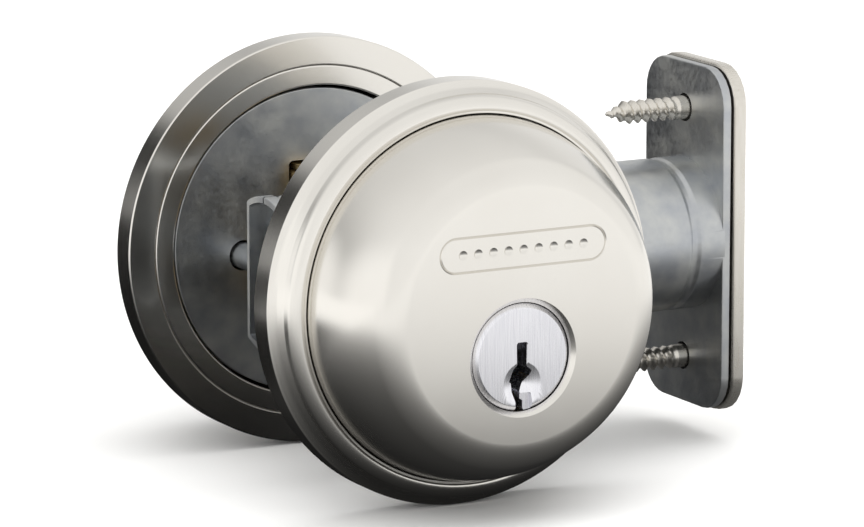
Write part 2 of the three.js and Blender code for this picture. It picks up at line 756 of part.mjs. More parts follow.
// The tail ends in a fork, open at the top, that the crank pin works in.
function boltTail() {
  const slotLeft = RETRACTED_PIN_X - FORK_HALF_SLOT;
  const slotRight = RETRACTED_PIN_X + FORK_HALF_SLOT;
  const slotBottom = CRANK_RADIUS * Math.SQRT1_2 + PLUG_Z - CRANK_PIN_RADIUS - 0.5;
  const front = BOLT_BACK + TENON_LENGTH - GAP;
  return slabY(outline([
    [slotLeft - FORK_PRONG, TAIL_BOTTOM],
    [front, TAIL_BOTTOM],
    [front, TAIL_TOP - 2],
    [BOLT_BACK - 1, TAIL_TOP - 2],
    [BOLT_BACK - 3, TAIL_TOP],
    [slotRight + FORK_PRONG + 1.3, TAIL_TOP],
    [slotRight + FORK_PRONG, FORK_TOP],
    [slotRight, FORK_TOP],
    [slotRight, slotBottom],
    [slotLeft, slotBottom],
    [slotLeft, FORK_TOP],
    [slotLeft - FORK_PRONG, FORK_TOP],
  ]), MID - TAIL_HALF_THICKNESS, MID + TAIL_HALF_THICKNESS);
}

function boltPieces() {
  const group = new THREE.Group();
  group.add(piece('bolt', bolt(), 'satin_nickel'));
  group.add(piece('bolt_hardened_pin', hardenedPin(), 'hard_steel'));
  group.add(piece('bolt_tail', boltTail(), 'zinc_steel'));
  return group;
}

// ---------- Cam: hub, crank arm and crank pin, drawn round its own axis ----------
function cam() {
  const armInner = TAIL_HALF_THICKNESS + 0.5;
  const armOuter = 4.1;
  const journal = CASE_HALF_WIDTH + 0.6;
  const hub = cylinderY(JOURNAL_RADIUS, MID - journal, MID + journal);
  const collar = cylinderY(JOURNAL_RADIUS + 0.35, MID + armInner, MID + armOuter);
  const arm = box(-ARM_HALF_WIDTH, ARM_HALF_WIDTH, MID + armInner, MID + armOuter, 0, CRANK_RADIUS);
  const tip = cylinderY(ARM_TIP_RADIUS, MID + armInner, MID + armOuter, 0, CRANK_RADIUS);
  const pin = cylinderY(CRANK_PIN_RADIUS, MID - 2.6, MID + armInner + 1, 0, CRANK_RADIUS);
  const upright = join(hub, collar, arm, tip, pin);
  const swung = upright.rotate([0, -45, 0]);
  const barGap = 0.3;
  const halfWidth = BAR_WIDTH / 2 + barGap;
  const halfThickness = BAR_THICKNESS / 2 + barGap;
  const driven = box(-halfThickness, halfThickness, MID - 10, MID, -halfWidth, halfWidth);
  const free = cylinderY(BAR_WIDTH / 2 + 0.6, MID - 0.1, MID + 10);
  return cut(swung, driven, free).translate([0, 0, PLUG_Z]);
}

// ---------- The lock ----------
const lock = new THREE.Group();

lock.add(lockHalf('outside', outsideHousing(), POST_RADIUS + GAP));

const insideHalf = lockHalf('inside', insideHousing(), SCREW_HOLE);
insideHalf.add(fasteners());
insideHalf.rotation.z = Math.PI;
insideHalf.position.y = DOOR;
lock.add(insideHalf);

lock.add(boltHardware());
lock.add(boltPieces());
lock.add(piece('bolt_cam', cam(), 'zinc_steel'));

export default lock;
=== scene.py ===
# %% [markdown]
# # A double-cylinder deadbolt
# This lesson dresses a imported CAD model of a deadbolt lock: two roses on the faces of a door, and between
# them the bolt that the two keyed cylinders drive. The CAD part fixes every size, place and motion. Here
# each piece gets the edges, threads, coils and metal that a hand would feel on the real one.
#
# The frame loads first. X runs to the door's edge, Y goes through the door from its outside face, Z is up.

# %% The frame
import json
import math

import bmesh
import bpy
from mathutils import Matrix, Vector

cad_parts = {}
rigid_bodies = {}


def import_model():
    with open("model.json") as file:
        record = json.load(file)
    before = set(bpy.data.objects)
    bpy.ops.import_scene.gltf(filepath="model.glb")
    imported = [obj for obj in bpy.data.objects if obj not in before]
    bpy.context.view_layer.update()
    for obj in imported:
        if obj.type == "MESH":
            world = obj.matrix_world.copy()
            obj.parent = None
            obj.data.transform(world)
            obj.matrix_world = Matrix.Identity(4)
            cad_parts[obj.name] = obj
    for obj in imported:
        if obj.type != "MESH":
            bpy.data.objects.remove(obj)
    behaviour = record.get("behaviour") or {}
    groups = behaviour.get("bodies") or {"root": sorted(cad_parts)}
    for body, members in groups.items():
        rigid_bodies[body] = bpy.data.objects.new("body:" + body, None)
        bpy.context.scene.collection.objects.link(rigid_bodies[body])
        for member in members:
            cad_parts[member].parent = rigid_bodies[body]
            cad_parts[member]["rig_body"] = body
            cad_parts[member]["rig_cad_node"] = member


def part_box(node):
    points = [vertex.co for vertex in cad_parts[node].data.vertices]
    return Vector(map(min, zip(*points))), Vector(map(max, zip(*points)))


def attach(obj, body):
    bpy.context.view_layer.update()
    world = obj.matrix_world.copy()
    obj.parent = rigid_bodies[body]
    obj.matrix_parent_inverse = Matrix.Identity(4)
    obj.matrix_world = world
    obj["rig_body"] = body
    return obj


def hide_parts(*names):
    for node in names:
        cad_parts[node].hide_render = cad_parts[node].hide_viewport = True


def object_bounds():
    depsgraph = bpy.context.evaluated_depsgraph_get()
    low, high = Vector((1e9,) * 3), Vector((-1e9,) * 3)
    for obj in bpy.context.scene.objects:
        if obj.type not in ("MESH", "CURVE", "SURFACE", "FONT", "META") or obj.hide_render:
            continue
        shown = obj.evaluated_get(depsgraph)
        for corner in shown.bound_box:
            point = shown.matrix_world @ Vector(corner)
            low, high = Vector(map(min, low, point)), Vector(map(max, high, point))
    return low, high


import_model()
cad_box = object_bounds()
print("CAD box", [tuple(round(v, 5) for v in corner) for corner in cad_box])

# %% [markdown]
# ## Sizes
# Outlines are easier to read in millimetres, so the script draws in them and turns to metres as each mesh
# is made. Whatever the frame already knows is measured from it. What the frame's plain solids don't show,
# such as edge roundings, is named here or beside the piece that uses it.

# %% Sizes measured from the frame
MM = 0.001


def box_mm(node):
    low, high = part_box(node)
    return low / MM, high / MM


ring_low, ring_high = box_mm("outside_trim_ring")
housing_low, housing_high = box_mm("outside_housing")
plug_low, plug_high = box_mm("outside_plug")
RING_RADIUS = ring_high.x
RING_CREST = -ring_low.y
HOUSING_RADIUS = housing_high.x
HEIGHT = -housing_low.y
POST_END = housing_high.y
DOOR = box_mm("inside_trim_ring")[0].y
MID = DOOR / 2
PLUG_Z = (plug_low.z + plug_high.z) / 2
HEAD_RADIUS = (plug_high.x - plug_low.x) / 2
HEAD_FRONT = plug_low.y
NECK_BACK = plug_high.y
GAP = 0.35
print(f"rose {2 * RING_RADIUS:.1f} across, {HEIGHT:.1f} deep, door {DOOR:.2f}, plug axis at {PLUG_Z:.1f}")

# %% [markdown]
# ## Drawing outlines
# Nearly every piece of a lock is turned on a lathe, stamped from sheet or milled from bar, so two shapes do
# most of the work: a profile turned round an axis, and an outline pushed along one. Sharp corners are what
# gives a model away, because real edges always catch a little light. `soften` rounds the corners of an
# outline, each by its own radius. A Bevel modifier could do this too, but it struggles after booleans, and
# on an outline the radius is exact.

# %% Rounding the corners of an outline
ARC_STEP = math.radians(15)
SIDE_SHARE = 0.49
SHARPEST = 0.3


def arc(centre, radius, start, end, steps):
    """Points on an arc; the angles are in degrees."""
    points = []
    for i in range(steps + 1):
        angle = math.radians(start + (end - start) * i / steps)
        points.append((centre[0] + radius * math.cos(angle), centre[1] + radius * math.sin(angle)))
    return points


def soften(points, closed=True):
    """An outline of (u, v) or (u, v, radius) points, with those corners rounded."""
    result = []
    for i, point in enumerate(points):
        corner = Vector(point[:2])
        radius = point[2] if len(point) == 3 else 0
        at_end = not closed and i in (0, len(points) - 1)
        if radius == 0 or at_end:
            result.append(tuple(corner))
            continue
        before = Vector(points[i - 1][:2]) - corner
        after = Vector(points[(i + 1) % len(points)][:2]) - corner
        half = before.angle(after) / 2
        reach = min(radius / math.tan(half), SIDE_SHARE * before.length, SIDE_SHARE * after.length)
        radius = reach * math.tan(half)
        middle = corner + (before.normalized() + after.normalized()).normalized() * radius / math.sin(half)
        first = corner + before.normalized() * reach - middle
        last = corner + after.normalized() * reach - middle
        turn = math.atan2(first.cross(last), first.dot(last))
        steps = max(3, math.ceil(abs(turn) / ARC_STEP))
        for k in range(steps + 1):
            spoke = Matrix.Rotation(turn * k / steps, 2) @ first
            result.append(tuple(middle + spoke))
    return result


def inset(outline, distance):
    """A closed anticlockwise outline, moved inwards by a distance."""
    result = []
    count = len(outline)
    for i in range(count):
        here = Vector(outline[i])
        before = (here - Vector(outline[i - 1])).normalized()
        after = (Vector(outline[(i + 1) % count]) - here).normalized()
        inward = Vector((-before.y - after.y, before.x + after.x))
        across = max(inward.length_squared / 2, SHARPEST)
        result.append(tuple(here + inward * distance / across))
    return result


def anticlockwise(outline):
    doubled = sum(
        outline[i - 1][0] * outline[i][1] - outline[i][0] * outline[i - 1][1] for i in range(len(outline))
    )
    return outline if doubled > 0 else outline[::-1]


print("a square with soft corners has", len(soften([(0, 0, 1), (9, 0, 1), (9, 9, 1), (0, 9, 1)])), "points")

# %% [markdown]
# ## From outline to mesh
# `lofted` joins rows of points with bmesh, and two functions feed it. `turned` spins a profile, vertex by
# vertex, instead of using the Spin operator. That keeps one shared point on the axis, so the pole is closed,
# and no seam is left to merge. `pushed` extrudes an outline and rolls its two rims over by a small edge
# radius. Both take the axis by name, because the roses and cylinders lie along Y, the bolt along X and the
# pin stacks along Z.

# %% Meshes from outlines
ROUND = 192
MIDDLE = 96
SMALL = 48
ON_AXIS = 1e-6


def point_on(axis, u, v, along):
    placed = {"x": (along, u, v), "y": (u, along, v), "z": (u, v, along)}[axis]
    return Vector(placed) * MM


def object_from(shape, name):
    mesh = bpy.data.meshes.new(name)
    shape.to_mesh(mesh)
    shape.free()
    obj = bpy.data.objects.new(name, mesh)
    bpy.context.scene.collection.objects.link(obj)
    return obj


def wall(shape, first, second):
    """Faces between two closed loops of as many points. A loop of one point is a pole."""
    count = max(len(first), len(second))
    for i in range(count):
        j = (i + 1) % count
        places = ((first, i), (first, j), (second, j), (second, i))
        corners = list(dict.fromkeys(loop[k % len(loop)] for loop, k in places))
        if len(corners) > 2:
            shape.faces.new(corners)


def lofted(rows, axis, name, ends="capped"):
    """A mesh through rows of (outline, along). Its ends are capped, joined to each other, or poles."""
    shape = bmesh.new()
    loops = [[shape.verts.new(point_on(axis, u, v, along)) for u, v in line] for line, along in rows]
    for first, second in zip(loops, loops[1:]):
        wall(shape, first, second)
    if ends == "joined":
        wall(shape, loops[-1], loops[0])
    elif ends == "capped":
        shape.faces.new(loops[0])
        shape.faces.new(loops[-1])
    bmesh.ops.recalc_face_normals(shape, faces=shape.faces)
    return object_from(shape, name)


def turned(profile, axis="y", at=(0, 0), sides=ROUND, name="turned"):
    """A profile of (radius, along) points turned round an axis. It ends on the axis or closes on itself."""
    angles = [math.tau * i / sides for i in range(sides)]
    rows = []
    for radius, along in profile:
        circle = [(at[0] + radius * math.cos(angle), at[1] + radius * math.sin(angle)) for angle in angles]
        rows.append(([at] if radius < ON_AXIS else circle, along))
    has_pole = min(profile[0][0], profile[-1][0]) <= ON_AXIS
    return lofted(rows, axis, name, "poles" if has_pole else "joined")


def pushed(outline, start, end, axis="y", edge=0.2, name="pushed"):
    """A closed outline pushed along an axis, with its two rims rolled over by the edge radius."""
    outline = anticlockwise(outline)
    rows = [(0, start), (0, end)]
    if edge > 0:
        angles = [math.radians(angle) for angle in (0, 30, 60, 90)]
        roll = [(edge * (1 - math.sin(angle)), edge * (1 - math.cos(angle))) for angle in angles]
        rows = [(pull, start + depth) for pull, depth in roll]
        rows += [(pull, end - depth) for pull, depth in reversed(roll)]
    lines = [(inset(outline, pull) if pull > 0 else outline, along) for pull, along in rows]
    return lofted(lines, axis, name)


def rod(radius, start, end, axis="y", at=(0, 0), sides=SMALL, edge=0.0):
    """A plain round bar or cutter; edge rounds its two rims."""
    profile = soften([(0, start), (radius, start, edge), (radius, end, edge), (0, end)], closed=False)
    return turned(profile, axis, at, sides, "rod")


def block(x, y, z, edge=0.0):
    """A bar with square faces between two X, two Y and two Z planes."""
    return pushed([(x[0], z[0]), (x[1], z[0]), (x[1], z[1]), (x[0], z[1])], y[0], y[1], "y", edge, "block")


# %% [markdown]
# ## Cutting and joining
# Bores, slots and sockets are cut with the Boolean modifier's Manifold solver. It only accepts closed
# meshes, which all of these are, and it gives a closed mesh back. Each result is turned into a plain mesh at
# once, and the cutters are deleted.

# %% Booleans
FLAT = math.radians(0.2)


def settle(obj):
    """Turns what an object's modifiers make of it into its own plain mesh."""
    plain = bpy.data.meshes.new_from_object(obj.evaluated_get(bpy.context.evaluated_depsgraph_get()))
    obj.modifiers.clear()
    old = obj.data
    obj.data = plain
    bpy.data.meshes.remove(old)


def shape_with(body, tools, operation):
    for tool in tools:
        change = body.modifiers.new("change", "BOOLEAN")
        change.operation = operation
        change.solver = "MANIFOLD"
        change.object = tool
    settle(body)
    for tool in tools:
        bpy.data.objects.remove(tool)
    return body


def cut(body, *tools):
    return shape_with(body, tools, "DIFFERENCE")


def join(body, *tools):
    return shape_with(body, tools, "UNION")


def merge_flats(body):
    """Puts the triangles that a cut leaves on a flat face back together, so that the face shades evenly."""
    shape = bmesh.new()
    shape.from_mesh(body.data)
    bmesh.ops.dissolve_limit(shape, angle_limit=FLAT, verts=shape.verts, edges=shape.edges)
    shape.to_mesh(body.data)
    shape.free()


test = cut(rod(5, 0, 10), rod(2, -1, 11))
print("a bored test bar has", len(test.data.polygons), "faces")
bpy.data.objects.remove(test)

# %% [markdown]
# ## Finishing a piece
# The inside half of the lock is the outside half turned round: half a turn about Z, and moved to the door's
# other face. That move goes into the mesh, so every object stays at the origin. Smooth shading alone would
# bend the light near every flat face, so faces meeting at more than 35 degrees stay sharp and a Weighted
# Normal modifier lets the large flat faces win. `done` bakes that, gives the piece its metal, hangs it on the
# body it rides on, and hides the CAD nodes it stands for.

# %% Handing a piece to the frame
SHARP = math.radians(35)
FLAT_FACES_WIN = 60
OUTSIDE = Matrix.Identity(4)
INSIDE = Matrix.Translation((0, DOOR * MM, 0)) @ Matrix.Rotation(math.pi, 4, "Z")
SIDES = {"outside": OUTSIDE, "inside": INSIDE}


def smooth(obj):
    obj.data.shade_smooth()
    obj.data.set_sharp_from_angle(angle=SHARP)
    weigh = obj.modifiers.new("weigh", "WEIGHTED_NORMAL")
    weigh.mode = "FACE_AREA"
    weigh.weight = FLAT_FACES_WIN
    weigh.keep_sharp = True
    settle(obj)


def done(obj, name, body, material, place=OUTSIDE, nodes=None):
    """Bakes place and shading, hangs the piece on its body, and hides its CAD nodes, by default its namesake.
    """
    if nodes is None:
        nodes = [name]
        name = name + "_fine"
    obj.name = name
    obj.data.transform(place)
    smooth(obj)
    obj.data.name = name
    obj.data.materials.clear()
    obj.data.materials.append(material)
    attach(obj, body)
    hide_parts(*nodes)
    triangles = sum(len(face.vertices) - 2 for face in obj.data.polygons)
    print(f"{name}: {triangles} triangles")


# %% [markdown]
# ## Metal
# Plated and machined metals differ less in colour than in the marks left on them: a soft blasted grain under
# nickel, upright brush lines on the plug, rings from the lathe on brass, cloudy zinc on stamped steel. All of
# them read the object's own coordinates, so they stay on the piece as it moves and need no UV map. `metal`
# builds one material from a few numbers: two close colours, a roughness that wanders, and a bump. Clouds mix
# the colours of a metal with a plain grain, and brush lines mix those of a metal that has them.

# %% A metal material
NOISE_LOW = 0.3
NOISE_HIGH = 0.7
GRAIN_IN_ROUGHNESS = 0.6
CLOUDS_IN_ROUGHNESS = (0.1, 0.3)


def number_node(tree, operation, *values):
    """A Math node on values that are each a number or a socket."""
    node = tree.nodes.new("ShaderNodeMath")
    node.operation = operation
    for socket, value in zip(node.inputs, values):
        if isinstance(value, (int, float)):
            socket.default_value = value
        else:
            tree.links.new(value, socket)
    return node.outputs[0]


def value_range(tree, source, low, high):
    node = tree.nodes.new("ShaderNodeMapRange")
    node.inputs["From Min"].default_value = NOISE_LOW
    node.inputs["From Max"].default_value = NOISE_HIGH
    node.inputs["To Min"].default_value = low
    node.inputs["To Max"].default_value = high
    tree.links.new(source, node.inputs["Value"])
    return node.outputs["Result"]


def noise(tree, vector, scale, detail=3.0):
    node = tree.nodes.new("ShaderNodeTexNoise")
    node.inputs["Scale"].default_value = scale
    node.inputs["Detail"].default_value = detail
    tree.links.new(vector, node.inputs["Vector"])
    return node.outputs["Fac"]


def stretched(tree, vector, stretch):
    node = tree.nodes.new("ShaderNodeMapping")
    node.inputs["Scale"].default_value = stretch
    tree.links.new(vector, node.inputs["Vector"])
    return node.outputs["Vector"]


def metal(name, dark, light, rough, grain, height, cloud=60.0, lines=None):
    """Two close colours, a (low, high) roughness, and a bump of grain, which lines can stretch."""
    material = bpy.data.materials.new(name)
    material.use_nodes = True
    tree = material.node_tree
    shader = tree.nodes["Principled BSDF"]
    shader.inputs["Metallic"].default_value = 1.0
    place = tree.nodes.new("ShaderNodeTexCoord").outputs["Object"]
    clouds = noise(tree, place, cloud)
    fine = noise(tree, stretched(tree, place, lines) if lines else place, grain, 4.0)

    colour = tree.nodes.new("ShaderNodeMix")
    colour.data_type = "RGBA"
    colour.inputs["A"].default_value = (*dark, 1)
    colour.inputs["B"].default_value = (*light, 1)
    tree.links.new(value_range(tree, fine if lines else clouds, 0.0, 1.0), colour.inputs["Factor"])
    tree.links.new(colour.outputs["Result"], shader.inputs["Base Color"])

    patches = value_range(tree, clouds, *CLOUDS_IN_ROUGHNESS)
    both = number_node(tree, "MULTIPLY_ADD", fine, GRAIN_IN_ROUGHNESS, patches)
    tree.links.new(value_range(tree, both, *rough), shader.inputs["Roughness"])

    bump = tree.nodes.new("ShaderNodeBump")
    bump.inputs["Strength"].default_value = 1.0
    bump.inputs["Distance"].default_value = height * MM
    tree.links.new(fine, bump.inputs["Height"])
    tree.links.new(bump.outputs["Normal"], shader.inputs["Normal"])
    return material


# %% [markdown]
# Satin nickel covers what shows on the door. The plug wears nickel over upright brush lines, and on the bolt
# and the faceplate the lines run along the piece. Inside the lock are brass, a cast brass darkened with
# painted shade for the shell seen through the keyway, and plated or bare steel.

# %% The finishes
satin_nickel = metal(
    "satin_nickel", (0.765, 0.742, 0.700), (0.80, 0.780, 0.740), (0.16, 0.22), grain=3200, height=0.0012,
)
plug_nickel = metal(
    "plug_nickel", (0.76, 0.76, 0.81), (0.95, 0.95, 0.99), (0.2, 0.34), cloud=90, grain=110,
    lines=(70, 10, 1.6), height=0.012,
)
bolt_nickel = metal(
    "bolt_nickel", (0.66, 0.64, 0.59), (0.74, 0.72, 0.67), (0.24, 0.36), cloud=80, grain=110,
    lines=(1.6, 60, 60), height=0.01,
)
plate_nickel = metal(
    "plate_nickel", (0.68, 0.65, 0.59), (0.76, 0.73, 0.68), (0.24, 0.36), cloud=80, grain=110,
    lines=(10, 60, 1.6), height=0.01,
)
brass = metal(
    "brass", (0.60, 0.42, 0.17), (0.72, 0.53, 0.25), (0.26, 0.42), cloud=120, grain=110,
    lines=(1.5, 60, 1.5), height=0.008,
)
# Cast brass painted dark as shade: the shell shows through the keyway, where it should read as shadow.
cast_brass = metal(
    "cast_brass", (0.34, 0.235, 0.10), (0.50, 0.36, 0.17), (0.34, 0.5), cloud=160, grain=1400, height=0.006,
)
zinc_steel = metal(
    "zinc_steel", (0.44, 0.46, 0.49), (0.60, 0.61, 0.60), (0.28, 0.48), cloud=240, grain=1500,
    height=0.004,
)
hard_steel = metal(
    "hard_steel", (0.20, 0.21, 0.23), (0.30, 0.31, 0.32), (0.3, 0.45), cloud=200, grain=110,
    lines=(1.5, 60, 60), height=0.006,
)
spring_steel = metal(
    "spring_steel", (0.40, 0.41, 0.44), (0.58, 0.59, 0.61), (0.2, 0.34), cloud=300, grain=2000,
    height=0.002,
)
print("materials:", [m.name for m in bpy.data.materials])

# %% [markdown]
# ## What repeats
# Springs, screw threads, pin stacks, the notches of the cylinder caps and the engraved row of dots all follow
# a rule, so they come from Geometry Nodes trees built here. Each tree has named inputs for its sizes. A small
# helper adds the tree to an object, sets its inputs by their sockets' identifiers, and turns the result into
# a plain mesh.

# %% Running a Geometry Nodes tree
def new_tree(name, sizes):
    """An empty tree with a geometry input and output, and a number input for each of the sizes."""
    tree = bpy.data.node_groups.new(name, "GeometryNodeTree")
    tree.interface.new_socket("Geometry", in_out="INPUT", socket_type="NodeSocketGeometry")
    for label, (kind, value) in sizes.items():
        socket = tree.interface.new_socket(label, in_out="INPUT", socket_type=kind)
        socket.default_value = value
    tree.interface.new_socket("Material", in_out="INPUT", socket_type="NodeSocketMaterial")
    tree.interface.new_socket("Geometry", in_out="OUTPUT", socket_type="NodeSocketGeometry")
    given = tree.nodes.new("NodeGroupInput")
    return tree, given.outputs


def end_tree(tree, given, geometry):
    """Ends a tree in Realize Instances and Set Material."""
    real = tree.nodes.new("GeometryNodeRealizeInstances")
    paint = tree.nodes.new("GeometryNodeSetMaterial")
    out = tree.nodes.new("NodeGroupOutput")
    tree.links.new(geometry, real.inputs["Geometry"])
    tree.links.new(real.outputs["Geometry"], paint.inputs["Geometry"])
    tree.links.new(given["Material"], paint.inputs["Material"])
    tree.links.new(paint.outputs["Geometry"], out.inputs["Geometry"])


def run_tree(tree, obj, material, **sizes):
    """Replaces the object's mesh by what the tree makes of it, and returns the object."""
    step = obj.modifiers.new(tree.name, "NODES")
    step.node_group = tree
    for item in tree.interface.items_tree:
        if item.item_type != "SOCKET" or item.in_out != "INPUT":
            continue
        label = item.name.lower().replace(" ", "_")
        if label in sizes:
            step[item.identifier] = sizes[label]
        elif item.name == "Material":
            step[item.identifier] = material
    obj.update_tag()
    settle(obj)
    return obj


# %% [markdown]
# ### Coil springs
# A pin tumbler's spring is a few turns of fine wire. The Spiral curve gives the helix, Curve to Mesh wraps a
# round wire about it, and a line of points repeats the coil along the pin tower.

# %% The tree for a row of coil springs
FLOAT = "NodeSocketFloat"
COUNT = "NodeSocketInt"
PLACE = "NodeSocketVector"
ROW_SIZES = {"Count": (COUNT, 5), "First": (PLACE, (0, 0, 0)), "Step": (PLACE, (0, 0.004, 0))}


def end_in_row(tree, given, shape):
    """Ends a tree in Count copies of a shape, from First on, each a Step from the last."""
    row = tree.nodes.new("GeometryNodeMeshLine")
    tree.links.new(given["Count"], row.inputs["Count"])
    tree.links.new(given["First"], row.inputs["Start Location"])
    tree.links.new(given["Step"], row.inputs["Offset"])
    copies = tree.nodes.new("GeometryNodeInstanceOnPoints")
    tree.links.new(row.outputs["Mesh"], copies.inputs["Points"])
    tree.links.new(shape, copies.inputs["Instance"])
    end_tree(tree, given, copies.outputs["Instances"])


def spring_tree():
    tree, given = new_tree("spring_row", {
        "Radius": (FLOAT, 0.001),
        "Wire": (FLOAT, 0.0001),
        "Height": (FLOAT, 0.005),
        "Turns": (FLOAT, 7.0),
        **ROW_SIZES,
    })
    link = tree.links.new
    helix = tree.nodes.new("GeometryNodeCurveSpiral")
    helix.inputs["Resolution"].default_value = 20
    link(given["Turns"], helix.inputs["Rotations"])
    link(given["Radius"], helix.inputs["Start Radius"])
    link(given["Radius"], helix.inputs["End Radius"])
    link(given["Height"], helix.inputs["Height"])
    wire = tree.nodes.new("GeometryNodeCurvePrimitiveCircle")
    wire.inputs["Resolution"].default_value = 10
    link(given["Wire"], wire.inputs["Radius"])
    coil = tree.nodes.new("GeometryNodeCurveToMesh")
    coil.inputs["Fill Caps"].default_value = True
    link(helix.outputs["Curve"], coil.inputs["Curve"])
    link(wire.outputs["Curve"], coil.inputs["Profile Curve"])
    end_in_row(tree, given, coil.outputs["Mesh"])
    return tree


springs = spring_tree()
print("the spring tree has", len(springs.nodes), "nodes")

# %% [markdown]
# ### Rows and rings of copies
# Five driver pins in a line and the notches round a cap are copies of one shape. One tree puts the shape it
# is given on the points of a line. The other keeps all the copies in one place and turns each of them by its
# share of a circle. The copies become parts of one mesh.

# %% The trees for copies in a row and in a ring
def row_tree():
    tree, given = new_tree("row_of_copies", ROW_SIZES)
    end_in_row(tree, given, given["Geometry"])
    return tree


def ring_tree():
    """Copies turned about the Y axis through the origin, an equal angle apart."""
    tree, given = new_tree("ring_of_copies", {"Count": (COUNT, 24)})
    link = tree.links.new
    points = tree.nodes.new("GeometryNodeMeshLine")
    link(given["Count"], points.inputs["Count"])
    points.inputs["Offset"].default_value = (0, 0, 0)
    index = tree.nodes.new("GeometryNodeInputIndex").outputs["Index"]
    share = number_node(tree, "DIVIDE", index, given["Count"])
    turn = tree.nodes.new("ShaderNodeCombineXYZ")
    link(number_node(tree, "MULTIPLY", share, math.tau), turn.inputs["Y"])
    copies = tree.nodes.new("GeometryNodeInstanceOnPoints")
    link(points.outputs["Mesh"], copies.inputs["Points"])
    link(given["Geometry"], copies.inputs["Instance"])
    link(turn.outputs["Vector"], copies.inputs["Rotation"])
    end_tree(tree, given, copies.outputs["Instances"])
    return tree


row_copies = row_tree()
ring_copies = ring_tree()
print("trees:", [group.name for group in bpy.data.node_groups])

# %% [markdown]
# ### Screw threads
# A rolled thread is a groove that climbs by one pitch a turn. A helix of separate triangles would have to be
# joined to the shank, so the tree moves the shank's own points instead: each point sinks towards the axis by
# a wave of its height plus its share of a turn. The shank only needs rows of points close enough together.

# %% The tree for a thread
ROWS_PER_PITCH = 8
STEEPNESS = 1.25


def thread_tree():
    """Threads a shank that lies along Z on the origin, from Start to End, with a run-out of one pitch."""
    tree, given = new_tree("thread", {
        "Pitch": (FLOAT, 0.0008),
        "Depth": (FLOAT, 0.0004),
        "Start": (FLOAT, 0.0),
        "End": (FLOAT, 0.02),
    })
    link = tree.links.new

    def number(operation, *values):
        return number_node(tree, operation, *values)

    position = tree.nodes.new("GeometryNodeInputPosition").outputs["Position"]
    split = tree.nodes.new("ShaderNodeSeparateXYZ")
    link(position, split.inputs["Vector"])
    x, y, z = split.outputs
    turn = number("DIVIDE", number("ARCTAN2", y, x), math.tau)
    phase = number("FRACT", number("SUBTRACT", number("DIVIDE", z, given["Pitch"]), turn))
    wave = number("ABSOLUTE", number("SUBTRACT", number("MULTIPLY", phase, 2.0), 1.0))
    groove = number("MINIMUM", number("MULTIPLY", wave, STEEPNESS), 1.0)
    rise = number("DIVIDE", number("SUBTRACT", z, given["Start"]), given["Pitch"])
    fall = number("DIVIDE", number("SUBTRACT", given["End"], z), given["Pitch"])
    ends = number("MAXIMUM", number("MINIMUM", number("MINIMUM", rise, fall), 1.0), 0.0)
    sink = number("MULTIPLY", number("MULTIPLY", groove, ends), given["Depth"])
    radius = number("SQRT", number("ADD", number("MULTIPLY", x, x), number("MULTIPLY", y, y)))
    scale = number("DIVIDE", sink, number("MAXIMUM", radius, 1e-6))
    flat = tree.nodes.new("ShaderNodeCombineXYZ")
    link(number("MULTIPLY", number("MULTIPLY", x, scale), -1.0), flat.inputs["X"])
    link(number("MULTIPLY", number("MULTIPLY", y, scale), -1.0), flat.inputs["Y"])
    move = tree.nodes.new("GeometryNodeSetPosition")
    link(given["Geometry"], move.inputs["Geometry"])
    link(flat.outputs["Vector"], move.inputs["Offset"])
    end_tree(tree, given, move.outputs["Geometry"])
    return tree


threads = thread_tree()


def threaded(profile, start, end, pitch, depth, material, sides=SMALL):
    """A turned shank along Z, with dense rows of points between two heights, and its thread."""
    dense = []
    for (r0, h0), (r1, h1) in zip(profile, profile[1:]):
        dense.append((r0, h0))
        inside = min(h0, h1) >= start - 1e-6 and max(h0, h1) <= end + 1e-6 and abs(h1 - h0) > pitch / 2
        steps = round(abs(h1 - h0) / pitch * ROWS_PER_PITCH) if inside else 1
        for k in range(1, steps):
            dense.append((r0 + (r1 - r0) * k / steps, h0 + (h1 - h0) * k / steps))
    dense.append(profile[-1])
    shank = turned(dense, "z", sides=sides)
    return run_tree(
        threads, shank, material, pitch=pitch * MM, depth=depth * MM, start=start * MM, end=end * MM
    )


print("the thread tree has", len(threads.nodes), "nodes")

# %% [markdown]
# ## The trim ring
# Each rose has a loose ring: a straight wall against the door, a sloping band, a groove, and a rounded bead
# with a fine lip at its bore. It is spun from sheet on the real lock, so one turned profile is the honest
# way to make it, with the bead as a true arc.

# %% Trim rings
RING_BORE = HOUSING_RADIUS + 0.07
RING_WALL = 4.5
BEAD_RADIUS = 1.75
BEAD_REACH = 29.75
LIP_DEPTH = 0.24


def trim_ring(side):
    bead = [(r, -y) for r, y in arc((BEAD_REACH, RING_CREST - BEAD_RADIUS), BEAD_RADIUS, 4, 104, 22)]
    lip = -RING_CREST + LIP_DEPTH
    profile = soften([
        (RING_BORE, 0, 0.2),
        (RING_RADIUS, 0, 0.25),
        (RING_RADIUS, -RING_WALL, 0.12),
        (RING_RADIUS - 0.3, -RING_WALL - 0.15, 0.2),
        (RING_RADIUS - 1.0, -RING_WALL - 0.75, 2.5),
        (BEAD_REACH + BEAD_RADIUS + 0.1, -RING_WALL - 2.25, 0.35),
        *bead,
        (RING_BORE + 0.42, lip, 0.05),
        (RING_BORE + 0.1, lip, 0.08),
        (RING_BORE, lip + 0.2),
    ])
    done(turned(profile), f"{side}_trim_ring", "root", satin_nickel, SIDES[side])


for side in SIDES:
    trim_ring(side)

# %% [markdown]
# ## The housings
# The domed housing has a flat face, a close shoulder and a wall that bulges in a wide arc down to the trim
# ring. The face has a bevelled hole for the plug. Where a maker would put a name, above the plug, it has a
# plain engraved stadium with a row of dots. The outside housing has two posts inside for the bolts, and the
# inside one has two wells for the screw heads. The shell is turned, and the rest is cut or joined with
# booleans.

